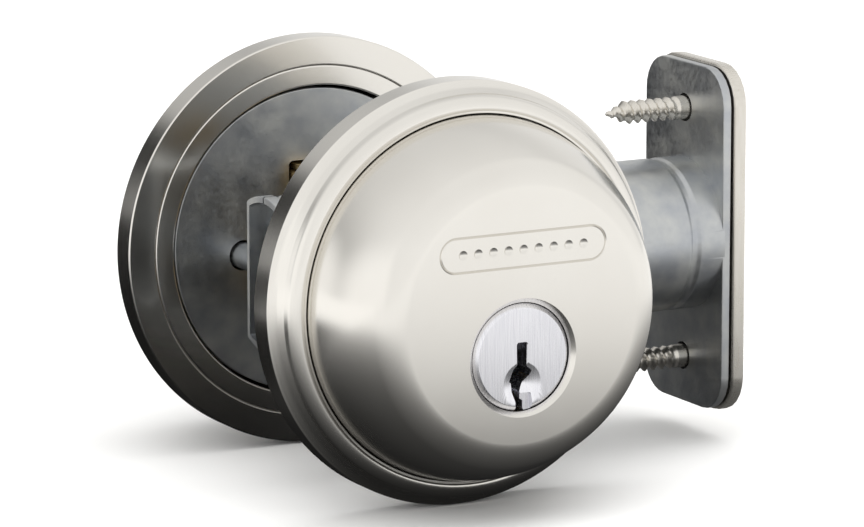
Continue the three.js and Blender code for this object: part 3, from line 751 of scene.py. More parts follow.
# %% Housings
FACE_RADIUS = 19.7
SHOULDER = 5.2
SHOULDER_END = 30.0
WALL_RADIUS = 34.5
WALL_END = 7.0
BASE_WALL = 8.5
FRONT_WALL = 3.3
SIDE_WALL = 3.25
SEAT_RADIUS = 9.2
SEAT_BORE = HEAD_RADIUS + 0.14
SCREW_X = 12.65
SCREW_Z = -1.5
SCREW_HOLE = 2.5
WELL_RADIUS = 3.9
WELL_DEPTH = 6.3
POST_RADIUS = 4.0
POST_BORE_FRONT = -14.0
BOSS_RADIUS = 4.7
ROOT_DEPTH = 1.5
PLATE_FRONT = -2.4
PLATE_BACK = -0.8


def housing_shell():
    inner_shoulder = 9.1
    inner_base = HOUSING_RADIUS - SIDE_WALL
    inner_top = -HEIGHT + FRONT_WALL
    centre = inner_base - 0.7 - inner_shoulder
    shoulder_y = -HEIGHT + SHOULDER
    step = WALL_RADIUS - SHOULDER
    slope = math.radians(SHOULDER_END)
    wall_centre = (FACE_RADIUS - step * math.cos(slope), shoulder_y + step * math.sin(slope))
    profile = [
        (0, -HEIGHT),
        *arc((FACE_RADIUS, shoulder_y), SHOULDER, -90, -SHOULDER_END, 24),
        *arc(wall_centre, WALL_RADIUS, -SHOULDER_END, -WALL_END, 30)[1:],
        (HOUSING_RADIUS, -BASE_WALL),
        (HOUSING_RADIUS, -5),
        *soften([
            (HOUSING_RADIUS, -1), (HOUSING_RADIUS, 0, 0.3), (inner_base, 0, 0.3), (inner_base, -4),
        ], closed=False),
        *arc((centre, inner_top + inner_shoulder), inner_shoulder, 0, -90, 20),
        (0, inner_top),
    ]
    return turned(profile)


def head_seat():
    """The bevelled hole for the plug's head, with a soft outer lip."""
    bevel = SEAT_RADIUS - SEAT_BORE
    return turned(soften([
        (0, -HEIGHT - 1),
        (SEAT_RADIUS + 1, -HEIGHT - 1),
        (SEAT_RADIUS + 0.12, -HEIGHT - 0.12),
        (SEAT_RADIUS - 0.1, -HEIGHT + 0.12, 0.3),
        (SEAT_BORE, -HEIGHT + bevel + 0.1, 0.15),
        (SEAT_BORE, -HEIGHT + FRONT_WALL + 1),
        (0, -HEIGHT + FRONT_WALL + 1),
    ], closed=False), at=(0, PLUG_Z))


MARK_Z = 10.4
MARK_LENGTH = 29.0
MARK_HEIGHT = 5.8
MARK_DEPTH = 0.25


def stadium(length, height, z):
    half = height / 2
    reach = length / 2 - half
    return [
        *[(reach + u, z + v) for u, v in arc((0, 0), half, -90, 90, 16)],
        *[(-reach + u, z + v) for u, v in arc((0, 0), half, 90, 270, 16)],
    ]


def groove(outer, inner):
    """A V groove between two outlines of as many points, as a cutter."""
    top = -HEIGHT - 0.05
    middle = [((a[0] + b[0]) / 2, (a[1] + b[1]) / 2) for a, b in zip(outer, inner)]
    return lofted([(outer, top), (middle, -HEIGHT + MARK_DEPTH), (inner, top)], "y", "groove", "joined")


def dots():
    """Nine shallow round dots in a row."""
    count, pitch, radius, ball = 9, 2.6, 0.75, 1.15
    drop = math.sqrt(ball * ball - radius * radius)
    centre = -HEIGHT - drop
    dot = turned([(0, centre - ball), *arc((0, centre), ball, -80, 80, 12), (0, centre + ball)], sides=24)
    step = (pitch * MM, 0, 0)
    first = (-pitch * (count - 1) / 2 * MM, 0, MARK_Z * MM)
    return run_tree(row_copies, dot, satin_nickel, count=count, first=first, step=step)


def engrave(body):
    rim = stadium(MARK_LENGTH, MARK_HEIGHT, MARK_Z)
    cut(body, groove(rim, stadium(MARK_LENGTH - 1, MARK_HEIGHT - 1, MARK_Z)))
    cut(body, dots())


def outside_housing():
    body = housing_shell()
    for x in (-SCREW_X, SCREW_X):
        join(body, rod(POST_RADIUS, -HEIGHT + ROOT_DEPTH, POST_END, at=(x, SCREW_Z), edge=0.4))
        cut(body, rod(SCREW_HOLE, POST_BORE_FRONT, POST_END + 1, at=(x, SCREW_Z)))
    cut(body, head_seat())
    engrave(body)
    done(body, "outside_housing", "root", satin_nickel)


def inside_housing():
    body = housing_shell()
    for x in (-SCREW_X, SCREW_X):
        join(body, rod(BOSS_RADIUS, -HEIGHT + ROOT_DEPTH, PLATE_FRONT - GAP, at=(x, SCREW_Z)))
        well = turned(soften([
            (0, -HEIGHT - 1),
            (WELL_RADIUS + 1.2, -HEIGHT - 1),
            (WELL_RADIUS + 0.2, -HEIGHT),
            (WELL_RADIUS, -HEIGHT + 0.2),
            (WELL_RADIUS, -HEIGHT + WELL_DEPTH),
            (0, -HEIGHT + WELL_DEPTH),
        ], closed=False), at=(x, SCREW_Z), sides=MIDDLE)
        cut(body, well)
        cut(body, rod(SCREW_HOLE, -HEIGHT, 1, at=(x, SCREW_Z)))
    cut(body, head_seat())
    engrave(body)
    done(body, "inside_housing", "root", satin_nickel, INSIDE)


outside_housing()
inside_housing()

# %% [markdown]
# ## The mounting plates
# A stamped steel disc behind each housing carries the screws' pull. It is punched for the cylinder with its
# pin tower and for the two screws or posts.

# %% Mounting plates
PLATE_RADIUS = 24.9
SHELL_RADIUS = 8.2
TOWER_HALF_WIDTH = 4.0
TOWER_TOP = 18.0
TOWER_NOTCH = 19.6


def keyhole(radius, half_width, top, corner):
    """The outline of a cylinder with its pin tower, round the plug axis."""
    angle = math.degrees(math.asin(half_width / radius))
    return [
        *[(u, PLUG_Z + v) for u, v in arc((0, 0), radius, 90 + angle, 450 - angle, 60)],
        *soften([
            (half_width, PLUG_Z + radius),
            (half_width, PLUG_Z + top, corner),
            (-half_width, PLUG_Z + top, corner),
            (-half_width, PLUG_Z + radius),
        ], closed=False),
    ]


def mounting_plate(side):
    hole = POST_RADIUS + GAP if side == "outside" else SCREW_HOLE
    body = rod(PLATE_RADIUS, PLATE_FRONT, PLATE_BACK, sides=ROUND, edge=0.25)
    opening = keyhole(SHELL_RADIUS + GAP, TOWER_HALF_WIDTH + GAP, TOWER_NOTCH, 0.8)
    cut(body, pushed(opening, PLATE_FRONT - 1, PLATE_BACK + 1, edge=0))
    for x in (-SCREW_X, SCREW_X):
        cut(body, rod(hole, PLATE_FRONT - 1, PLATE_BACK + 1, at=(x, SCREW_Z)))
    done(body, f"{side}_mounting_plate", "root", zinc_steel, SIDES[side])


for side in SIDES:
    mounting_plate(side)

# %% [markdown]
# ## The plugs
# The plug is what the key turns. Its face is brushed upright, with a chamfer round it, a conical dimple that
# guides the key, and the wavy keyway whose wards keep other keys out. The keyway is cut with a tool that
# flares at the face, so its edge has the thin bright line of a broken corner. Behind the head a web closes
# its foot.

# %% Plugs
PLUG_RADIUS = 6.35
SHELL_FRONT = -HEIGHT + FRONT_WALL + GAP
SHELL_BACK = 3.0
NECK_RADIUS = 5.4
DIMPLE_RADIUS = 3.25
DIMPLE_DEPTH = 1.1
DIMPLE_DROP = 4.0
PIN_COUNT = 5
PIN_PITCH = 3.96
FIRST_PIN = -18.4
CHAMBER_RADIUS = 1.75
CHAMBER_FLOOR = 0.2
HEAD_CHAMFER = 0.7
WEB_FRONT = 2.5
WEB_HALF_WIDTH = 2.2
WEB_BOTTOM = PLUG_Z - 5.9
WEB_TOP = PLUG_Z - 5.3

KEYWAY = [
    (-0.85, 2.25, 0.3), (-0.8, -1.1, 0.3), (-1.4, -1.8, 0.3), (-2.05, -3.75, 0.2), (-1.65, -3.9, 0.1),
    (-1.6, -5.3, 0.4), (-1.05, -7.1, 0.4), (-1.05, -9.3), (0.9, -9.3), (0.4, -7.8, 0.2),
    (0.4, -6.75, 0.15), (-0.1, -6.5, 0.15), (-0.1, -5.3, 0.3), (0.6, -3.9, 0.3), (1.5, -2.9, 0.2),
    (1.8, -2.15, 0.15), (0.8, -1.35, 0.3), (0.85, 2.25, 0.3),
]


def keyway_tool():
    outline = anticlockwise([(u, PLUG_Z + v) for u, v in soften(KEYWAY)])
    flare = 0.14
    wide = inset(outline, -flare - 0.1)
    rows_of_points = [(wide, HEAD_FRONT - 0.1), (outline, HEAD_FRONT + flare), (outline, NECK_BACK + 1)]
    return lofted(rows_of_points, "y", "keyway")


def in_pin_row(shape):
    """Copies of a shape where the pins stand, one for each pin."""
    first = (0, FIRST_PIN * MM, PLUG_Z * MM)
    return run_tree(row_copies, shape, brass, count=PIN_COUNT, first=first, step=(0, PIN_PITCH * MM, 0))


def chamber_tool(bottom, top):
    """The round chambers of the pins, as one cutter."""
    return in_pin_row(rod(CHAMBER_RADIUS, bottom, top, "z", sides=32))


def plug(side):
    head_back = SHELL_FRONT - GAP
    body = turned(soften([
        (0, HEAD_FRONT),
        (HEAD_RADIUS - HEAD_CHAMFER, HEAD_FRONT, 0.12),
        (HEAD_RADIUS, HEAD_FRONT + HEAD_CHAMFER, 0.12),
        (HEAD_RADIUS, head_back, 0.1),
        (PLUG_RADIUS, head_back),
        (PLUG_RADIUS, SHELL_BACK + GAP, 0.2),
        (NECK_RADIUS, SHELL_BACK + GAP, 0.1),
        (NECK_RADIUS, NECK_BACK, 0.3),
        (0, NECK_BACK),
    ], closed=False), at=(0, PLUG_Z), sides=MIDDLE)
    dimple = turned(soften([
        (0, HEAD_FRONT - 1),
        (DIMPLE_RADIUS + 0.8, HEAD_FRONT - 1),
        (DIMPLE_RADIUS + 0.05, HEAD_FRONT - 0.03),
        (DIMPLE_RADIUS - 0.15, HEAD_FRONT + 0.08, 0.1),
        (0.4, HEAD_FRONT + DIMPLE_DEPTH, 0.5),
        (0, HEAD_FRONT + DIMPLE_DEPTH),
    ], closed=False), at=(0, PLUG_Z - DIMPLE_DROP), sides=MIDDLE)
    step_bottom, step_top = PLUG_Z - 8.3, PLUG_Z - 5.6
    ward = pushed(soften([
        (-0.1, step_bottom, 0.1), (1.7, step_bottom, 0.3), (1.7, step_top, 0.3), (-0.1, step_top, 0.1),
    ]), HEAD_FRONT - 1, HEAD_FRONT + 0.75, edge=0)
    cut(body, dimple)
    cut(body, ward)
    cut(body, keyway_tool())
    web_y = (head_back + WEB_FRONT, SHELL_BACK)
    join(body, block((-WEB_HALF_WIDTH, WEB_HALF_WIDTH), web_y, (WEB_BOTTOM, WEB_TOP)))
    cut(body, chamber_tool(CHAMBER_FLOOR, PLUG_RADIUS + 1))
    done(body, f"{side}_plug", f"{side}_plug", plug_nickel, SIDES[side])


for side in SIDES:
    plug(side)

# %% [markdown]
# ## The cylinder bodies
# The shell is a brass casting: a round barrel for the plug with a tower on top for the pin stacks, and a
# pocket at its front, below the keyway's foot. A strip closes the chambers, and the notched cap screws on the
# plug's neck to hold the tailpiece's disc.

# %% Shells, pin covers, caps and tailpieces
CAP_RADIUS = 7.5
CAP_BACK = 7.9
CAP_WALL = 1.25
NOTCHES = 24
NOTCH_RADIUS = 0.5
BAR_WIDTH = 4.2
BAR_THICKNESS = 1.8
BAR_END = MID - 0.4
POCKET_HALF_WIDTH = 1.5
POCKET_DEPTH = 6.0
POCKET_BOTTOM = PLUG_Z - 9.5
POCKET_TOP = PLUG_Z - 6.0


def cylinder_shell(side):
    body = pushed(keyhole(SHELL_RADIUS, TOWER_HALF_WIDTH, TOWER_TOP, 0.5), SHELL_FRONT, SHELL_BACK, edge=0.25)
    cut(body, rod(PLUG_RADIUS + GAP, SHELL_FRONT - 1, SHELL_BACK + 1, at=(0, PLUG_Z), sides=MIDDLE))
    cut(body, chamber_tool(PLUG_RADIUS - 1, TOWER_TOP + 1))
    pocket_y = (SHELL_FRONT - 1, SHELL_FRONT + POCKET_DEPTH)
    cut(body, block((-POCKET_HALF_WIDTH, POCKET_HALF_WIDTH), pocket_y, (POCKET_BOTTOM, POCKET_TOP)))
    # The shell's cast brass is painted dark, as shade seen through the keyway.
    done(body, f"{side}_cylinder_shell", "root", cast_brass, SIDES[side])


def pin_cover(side):
    half = TOWER_HALF_WIDTH - 0.4
    bottom = PLUG_Z + TOWER_TOP + GAP
    body = block((-half, half), (SHELL_FRONT + 0.5, SHELL_BACK - 0.5), (bottom, bottom + 0.8), 0.15)
    done(body, f"{side}_pin_cover", "root", brass, SIDES[side])


def cylinder_cap(side):
    front = SHELL_BACK + 2 * GAP
    wall = CAP_BACK - CAP_WALL
    body = rod(CAP_RADIUS, front, CAP_BACK, sides=MIDDLE, edge=0.3)
    cut(body, rod(NECK_RADIUS + GAP, front - 1, wall, sides=MIDDLE))
    cut(body, rod(BAR_WIDTH / 2 + 0.6, wall - 1, CAP_BACK + 1))
    notch = rod(NOTCH_RADIUS, front - 1, CAP_BACK + 1, at=(CAP_RADIUS + 0.1, 0), sides=16)
    cut(body, run_tree(ring_copies, notch, brass, count=NOTCHES))
    body.data.transform(Matrix.Translation((0, 0, PLUG_Z * MM)))
    done(body, f"{side}_cylinder_cap", f"{side}_plug", brass, SIDES[side])


def tailpiece(side):
    disc_back = CAP_BACK - CAP_WALL - GAP
    body = rod(NECK_RADIUS - 0.7, NECK_BACK + GAP, disc_back, at=(0, PLUG_Z), sides=MIDDLE, edge=0.2)
    half, flat = BAR_WIDTH / 2, BAR_THICKNESS / 2
    bar = pushed(soften([
        (disc_back - 0.5, PLUG_Z - half),
        (BAR_END, PLUG_Z - half, 0.8),
        (BAR_END, PLUG_Z + half, 0.8),
        (disc_back - 0.5, PLUG_Z + half),
    ]), -flat, flat, "x", edge=0.2)
    join(body, bar)
    done(body, f"{side}_tailpiece", f"{side}_plug", zinc_steel, SIDES[side])


for side in SIDES:
    cylinder_shell(side)
    pin_cover(side)
    cylinder_cap(side)
    tailpiece(side)

# %% [markdown]
# ## The pin stacks
# Each chamber holds a pointed key pin in the plug, a driver pin above the shear line and a spring. The key
# pins differ in length, which is what codes the lock, so a loop makes them; the drivers and springs are
# alike and come from the trees.

# %% Pins and springs
PIN_RADIUS = 1.43
SHEAR_LOW = 6.05
SHEAR_HIGH = 6.8
DRIVER_LENGTH = 5.2
KEY_PIN_LENGTHS = (4.6, 5.4, 4.2, 5.0, 4.4)
SPRING_WIRE = 0.16
STACK = range(1, PIN_COUNT + 1)


def key_pins(side):
    for number, length in zip(STACK, KEY_PIN_LENGTHS):
        bottom = PLUG_Z + SHEAR_LOW - length
        top = PLUG_Z + SHEAR_LOW
        profile = soften([
            (0, bottom), (0.45, bottom, 0.3), (PIN_RADIUS, bottom + 0.75, 0.3),
            (PIN_RADIUS, top, 0.15), (0, top),
        ], closed=False)
        pin = turned(profile, "z", at=(0, FIRST_PIN + (number - 1) * PIN_PITCH), sides=32)
        done(pin, f"{side}_key_pin_{number}", f"{side}_plug", brass, SIDES[side])


def driver_pins(side):
    bottom, top = SHEAR_HIGH, SHEAR_HIGH + DRIVER_LENGTH
    waist = PIN_RADIUS - 0.3
    profile = soften([
        (0, bottom), (PIN_RADIUS, bottom, 0.15), (PIN_RADIUS, bottom + 1.2, 0.1), (waist, bottom + 1.5, 0.2),
        (waist, top - 1.5, 0.2), (PIN_RADIUS, top - 1.2, 0.1), (PIN_RADIUS, top, 0.15), (0, top),
    ], closed=False)
    pins = in_pin_row(turned(profile, "z", sides=32))
    nodes = [f"{side}_driver_pin_{number}" for number in STACK]
    done(pins, f"{side}_driver_pins", "root", brass, SIDES[side], nodes)


def pin_springs(side):
    bottom = SHEAR_HIGH + DRIVER_LENGTH + GAP + SPRING_WIRE
    height = TOWER_TOP - SPRING_WIRE - bottom
    coils = run_tree(
        springs, object_from(bmesh.new(), "coils"), spring_steel,
        radius=(PIN_RADIUS - 0.05 - SPRING_WIRE) * MM, wire=SPRING_WIRE * MM, height=height * MM, turns=7.0,
        count=PIN_COUNT, first=(0, FIRST_PIN * MM, (PLUG_Z + bottom) * MM), step=(0, PIN_PITCH * MM, 0),
    )
    nodes = [f"{side}_pin_spring_{number}" for number in STACK]
    done(coils, f"{side}_pin_springs", "root", spring_steel, SIDES[side], nodes)


for side in SIDES:
    key_pins(side)
    driver_pins(side)
    pin_springs(side)

# %% [markdown]
# ## Through-bolts and their caps
# Two machine screws pass through the inside housing and the bolt case into the outside housing's posts, and
# pull the two roses together on the door. A plated cap closes each well, flush with the face.

# %% Through-bolts and screw caps
SCREW_RADIUS = 2.1
SCREW_HEAD = 3.5
SCREW_HEAD_HEIGHT = 2.8
SCREW_REACH = 10.0
SCREW_THREAD = 26.0
CAP_DISC = 3.6
PLACES = {"hinge_side": SCREW_X, "edge_side": -SCREW_X}


def through_bolt(where, x):
    front = -HEIGHT + WELL_DEPTH - GAP - SCREW_HEAD_HEIGHT
    tip = DOOR + SCREW_REACH
    profile = soften([
        (0, front),
        (SCREW_HEAD - 0.6, front, 0.15),
        (SCREW_HEAD, front + 0.6, 0.15),
        (SCREW_HEAD, front + SCREW_HEAD_HEIGHT, 0.15),
        (SCREW_RADIUS, front + SCREW_HEAD_HEIGHT, 0.2),
        (SCREW_RADIUS, tip - SCREW_THREAD),
        (SCREW_RADIUS, tip - 0.8),
        (SCREW_RADIUS - 0.6, tip),
        (0, tip),
    ], closed=False)
    body = threaded(profile, tip - SCREW_THREAD, tip - 0.8, pitch=0.8, depth=0.4, material=zinc_steel)
    socket = turned([(0, front - 1), (1.5, front - 1), (1.5, front + 1.6), (0, front + 2.2)], "z", sides=6)
    cut(body, socket)
    body.data.transform(Matrix.Rotation(-math.pi / 2, 4, "X"))
    body.data.transform(Matrix.Translation((x * MM, 0, SCREW_Z * MM)))
    done(body, f"through_bolt_{where}", "root", zinc_steel, INSIDE)


def screw_cap(where, x):
    front = -HEIGHT + 0.05
    profile = soften([
        (0, front), (CAP_DISC - 0.1, front, 0.12), (CAP_DISC, front + 0.25, 0.1),
        (CAP_DISC, front + 2.4, 0.1), (CAP_DISC - 0.7, front + 2.4), (CAP_DISC - 0.7, front + 0.8, 0.2),
        (0, front + 0.8),
    ], closed=False)
    body = turned(profile, at=(x, SCREW_Z), sides=MIDDLE)
    done(body, f"screw_cap_{where}", "root", satin_nickel, INSIDE)


for where, x in PLACES.items():
    through_bolt(where, x)
    screw_cap(where, x)

# %% [markdown]
# ## The bolt case, sleeve and faceplate
# A flattened tube in two stamped halves guides the bolt's tail and carries the cam's hub. In front of it a
# round sleeve fits the edge bore and is swaged to a flange behind the faceplate. All of it is pressed
# steel: outlines pushed along X, with the windows punched out.

# %% Case halves and sleeve
faceplate_low, faceplate_high = box_mm("faceplate")
bolt_low, bolt_high = box_mm("bolt")
EDGE = faceplate_high.x
FACEPLATE_THICKNESS = EDGE - faceplate_low.x
FACEPLATE_WIDTH = faceplate_high.y - faceplate_low.y
FACEPLATE_HEIGHT = faceplate_high.z - faceplate_low.z
FACEPLATE_CORNER = 6.35
CASE_BACK = box_mm("bolt_case_outside_half")[0].x
CASE_FRONT = box_mm("bolt_case_outside_half")[1].x
TUBE_RADIUS = 12.5
TUBE_WALL = 0.9
CASE_HALF_WIDTH = 6.0
CASE_WALL = 1.0
SLOT_HALF_WIDTH = 4.8
SLOT_BOTTOM = 8.5
THROW = 25.4
CRANK_RADIUS = THROW / math.sqrt(2)
JOURNAL_RADIUS = 3.6
FLANGE_THICKNESS = 1.5
FLANGE_INSET = 0.4
PLATE_SCREW_Z = 20.65
PLATE_SCREW_RADIUS = 1.95
PLATE_SCREW_HEAD = 4.15
BOLT_RADIUS = 11.1
BOLT_HALF = 7.15


def flattened(radius, half, corner=0.3):
    """A circle with two flats, as Y and Z, round the middle of the door."""
    angle = math.degrees(math.asin(half / radius))
    top = arc((MID, 0), radius, 90 - angle, 90 + angle, 24)
    bottom = arc((MID, 0), radius, 270 - angle, 270 + angle, 24)
    for line in (top, bottom):
        line[0] = (*line[0], corner)
        line[-1] = (*line[-1], corner)
    return soften([*top, *bottom])


def case_half(side, sign):
    shell = pushed(flattened(TUBE_RADIUS, CASE_HALF_WIDTH, 0.5), CASE_BACK, CASE_FRONT, "x", edge=0.25)
    hollow = flattened(TUBE_RADIUS - CASE_WALL, CASE_HALF_WIDTH - CASE_WALL)
    cut(shell, pushed(hollow, CASE_BACK - 1, CASE_FRONT + 1, "x", edge=0))
    far = 30
    seam = MID + sign * GAP / 2
    cut(shell, block((-far, far), sorted((seam, MID - sign * far)), (-far, far)))
    slot = CRANK_RADIUS + 0.5
    near, away = MID - SLOT_HALF_WIDTH, MID + SLOT_HALF_WIDTH
    top = soften([(-slot, near, 1), (slot, near, 1), (slot, away, 1), (-slot, away, 1)])
    cut(shell, pushed(top, SLOT_BOTTOM, far, "z", edge=0))
    cut(shell, rod(JOURNAL_RADIUS + 0.3, 0, DOOR, at=(0, PLUG_Z)))
    for x in (-SCREW_X, SCREW_X):
        cut(shell, rod(SCREW_HOLE + 0.3, 0, DOOR, at=(x, SCREW_Z)))
    done(shell, f"bolt_case_{side}_half", "root", zinc_steel)


def plate_outline(shrink):
    u, v = FACEPLATE_WIDTH / 2 - shrink, FACEPLATE_HEIGHT / 2 - shrink
    corner = FACEPLATE_CORNER - shrink
    return soften([
        (MID - u, -v, corner), (MID + u, -v, corner), (MID + u, v, corner), (MID - u, v, corner),
    ])


def punch(body, back, front):
    """Cuts the bolt's mouth between two X planes, and the countersunk holes of the two screws."""
    cut(body, pushed(flattened(BOLT_RADIUS + GAP, BOLT_HALF + GAP), back, front, "x", edge=0))
    hole, rim = PLATE_SCREW_RADIUS + GAP, PLATE_SCREW_HEAD + GAP
    deep, proud = EDGE - 20, EDGE + 0.5
    sink = [(0, deep), (hole, deep), (hole, EDGE - rim + hole), (rim + 0.5, proud), (0, proud)]
    for z in (-PLATE_SCREW_Z, PLATE_SCREW_Z):
        cut(body, turned(sink, "x", at=(MID, z), sides=SMALL))


def bolt_sleeve():
    front = EDGE - FACEPLATE_THICKNESS - GAP
    back = front - FLANGE_THICKNESS
    tube_back = CASE_FRONT + GAP
    inner = TUBE_RADIUS - TUBE_WALL
    profile = [(0, tube_back), (TUBE_RADIUS - 0.2, tube_back, 0.2), (TUBE_RADIUS, tube_back + 0.5, 0.4)]
    for bead in (tube_back + 4, back - 6):
        profile += [
            (TUBE_RADIUS, bead, 0.6), (TUBE_RADIUS - 0.35, bead + 0.6, 0.6),
            (TUBE_RADIUS - 0.35, bead + 1.4, 0.6), (TUBE_RADIUS, bead + 2, 0.6),
        ]
    profile += [(TUBE_RADIUS, back + 0.4), (0, back + 0.4)]
    body = turned(soften(profile, closed=False), "x", at=(MID, 0))
    join(body, pushed(plate_outline(FLANGE_INSET), back, front, "x", edge=0.2))
    cut(body, rod(inner, tube_back - 1, back, "x", at=(MID, 0), sides=ROUND))
    punch(body, back - 1, front + 1)
    done(body, "bolt_sleeve", "root", zinc_steel)


def faceplate():
    body = pushed(plate_outline(0), EDGE - FACEPLATE_THICKNESS, EDGE, "x", edge=0.45)
    punch(body, EDGE - 5, EDGE + 1)
    done(body, "faceplate", "root", plate_nickel)


case_half("outside", -1)
case_half("inside", 1)
bolt_sleeve()
faceplate()

# %% [markdown]
# ## The wood screws
# Two flat-head screws hold the faceplate. Their coarse thread comes from the same tree as the through-bolts'
# fine one, with a longer pitch, and it tapers with the point because the tree sinks a share of the shank.

# %% Faceplate screws
PLATE_SCREW_LENGTH = 19.0
PLATE_SCREW_POINT = 3.5


def faceplate_screw(where, z):
    front = EDGE - 0.1
    tip = front - PLATE_SCREW_LENGTH
    neck = front - PLATE_SCREW_HEAD + PLATE_SCREW_RADIUS
    profile = soften([
        (0, tip),
        (0.35, tip + 0.3),
        (PLATE_SCREW_RADIUS, tip + PLATE_SCREW_POINT),
        (PLATE_SCREW_RADIUS, neck - 3.5),
        (PLATE_SCREW_RADIUS, neck, 0.3),
        (PLATE_SCREW_HEAD, front - 0.12, 0.08),
        (PLATE_SCREW_HEAD - 0.12, front, 0.08),
        (0, front),
    ], closed=False)
    body = threaded(profile, tip + 0.3, neck - 3.5, pitch=1.6, depth=0.6, material=plate_nickel)
    body.data.transform(Matrix.Rotation(math.pi / 2, 4, "Y"))
    body.data.transform(Matrix.Translation((0, MID * MM, z * MM)))
    reach, blade, depth = 1.9, 0.45, 1.4
    wing = [(reach, 0), (reach * 0.45, -depth), (-reach * 0.45, -depth), (-reach, 0), (-reach, 1), (reach, 1)]
    flat_wing = [(front + v, z + u) for u, v in wing]
    cut(body, pushed(flat_wing, MID - blade, MID + blade, "y", edge=0))
    across_wing = [(front + v, MID + u) for u, v in wing]
    cut(body, pushed(across_wing, z - blade, z + blade, "z", edge=0))
    done(body, f"faceplate_screw_{where}", "root", plate_nickel)


faceplate_screw("top", PLATE_SCREW_Z)
faceplate_screw("bottom", -PLATE_SCREW_Z)

# %% [markdown]
# ## The bolt, its pin and its tail
# The bolt is a solid bar with two flats. A hardened pin inside it turns a saw, and a tail is riveted in a
# slot at its back. The tail ends in the fork that the cam's pin works in.

# %% Bolt pieces
BOLT_FRONT = bolt_high.x
BOLT_BACK = bolt_low.x
HARD_PIN_RADIUS = 2.2
HARD_PIN_Z = -5.0
HARD_PIN_FRONT = 51.5
TAIL_HALF = 1.2
TAIL_BOTTOM = 1.5
TAIL_TOP = 11.0
TENON = 10.0
CRANK_PIN_RADIUS = 1.6


def bolt():
    body = pushed(flattened(BOLT_RADIUS, BOLT_HALF, 0.9), BOLT_BACK, BOLT_FRONT, "x", edge=0.45)
    slot = TAIL_HALF + GAP
    cut(body, block((BOLT_BACK - 1, BOLT_BACK + TENON), (MID - slot, MID + slot), (TAIL_BOTTOM - GAP, 20)))
    bore = HARD_PIN_RADIUS + GAP
    cut(body, rod(bore, BOLT_BACK - 1, HARD_PIN_FRONT + 0.5, "x", at=(MID, HARD_PIN_Z)))
    merge_flats(body)
    done(body, "bolt", "bolt", bolt_nickel)


def hardened_pin():
    body = rod(HARD_PIN_RADIUS, BOLT_BACK + 0.8, HARD_PIN_FRONT, "x", at=(MID, HARD_PIN_Z), edge=0.4)
    done(body, "bolt_hardened_pin", "bolt", hard_steel)


def bolt_tail():
    tail_low, tail_high = box_mm("bolt_tail")
    prong = 2.4
    slot = 2 * (CRANK_PIN_RADIUS + 0.9)
    left = tail_low.x + prong
    right = left + slot
    floor = CRANK_RADIUS / math.sqrt(2) + PLUG_Z - CRANK_PIN_RADIUS - 0.5
    outline = soften([
        (tail_low.x, TAIL_BOTTOM, 0.8), (tail_high.x, TAIL_BOTTOM, 0.4), (tail_high.x, TAIL_TOP - 2, 0.4),
        (BOLT_BACK - 1, TAIL_TOP - 2, 1.5), (BOLT_BACK - 3, TAIL_TOP, 1.5),
        (right + prong + 1.3, TAIL_TOP, 1), (right + prong, tail_high.z, 0.8), (right, tail_high.z, 0.5),
        (right, floor, 0.6), (left, floor, 0.6), (left, tail_high.z, 0.5), (tail_low.x, tail_high.z, 0.8),
    ])
    body = pushed(outline, MID - TAIL_HALF, MID + TAIL_HALF, edge=0.2)
    done(body, "bolt_tail", "bolt", zinc_steel)


bolt()
hardened_pin()
bolt_tail()

# %% [markdown]
# ## The cam
# The cam turns in the case on two journals. Its arm carries a pin that pushes the tail's fork, so a quarter
# turn of a key throws the bolt. It is drawn upright and swung to where it rests, with the bolt drawn back.

# %% Cam
ARM_INNER = TAIL_HALF + 0.5
ARM_OUTER = 4.1


def bolt_cam():
    journal = CASE_HALF_WIDTH + 0.6
    body = rod(JOURNAL_RADIUS, MID - journal, MID + journal, edge=0.3)
    join(body, rod(JOURNAL_RADIUS + 0.35, MID + ARM_INNER, MID + ARM_OUTER, edge=0.15))
    half, tip = 2.3, 3.3
    tuck = math.degrees(math.acos(half / tip))
    arm = [(-half, 0), (half, 0), *arc((0, CRANK_RADIUS), tip, -tuck, 180 + tuck, 30)]
    join(body, pushed(arm, MID + ARM_INNER, MID + ARM_OUTER, edge=0.25))
    join(body, rod(CRANK_PIN_RADIUS, MID - 2.6, MID + ARM_INNER + 1, at=(0, CRANK_RADIUS), edge=0.25))
    body.data.transform(Matrix.Rotation(math.radians(-45), 4, "Y"))
    half_bar, half_flat = BAR_WIDTH / 2 + 0.3, BAR_THICKNESS / 2 + 0.3
    cut(body, block((-half_flat, half_flat), (MID - 10, MID), (-half_bar, half_bar)))
    cut(body, rod(BAR_WIDTH / 2 + 0.6, MID - 0.1, MID + 10))
    body.data.transform(Matrix.Translation((0, 0, PLUG_Z * MM)))
    done(body, "bolt_cam", "cam", zinc_steel)


bolt_cam()
pieces = [obj for obj in bpy.data.objects if obj.get("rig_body") and not obj.get("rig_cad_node")]
print(len(pieces), "pieces,", sum(len(f.vertices) - 2 for o in pieces for f in o.data.polygons), "triangles")

# %% [markdown]
# ## The camera
# The lock is seen from its outside, from the hinge side and a little above, through a long lens that keeps
# the rose's circles true. The lens is worked out from how large the rose should stand in the picture.

# %% Camera
AZIMUTH = math.radians(-28.3)
ELEVATION = math.radians(11.3)
DISTANCE = 0.85
WIDTH_SHOWN = 0.13458
TARGET = Vector((0, 4.6, 3.1)) * MM

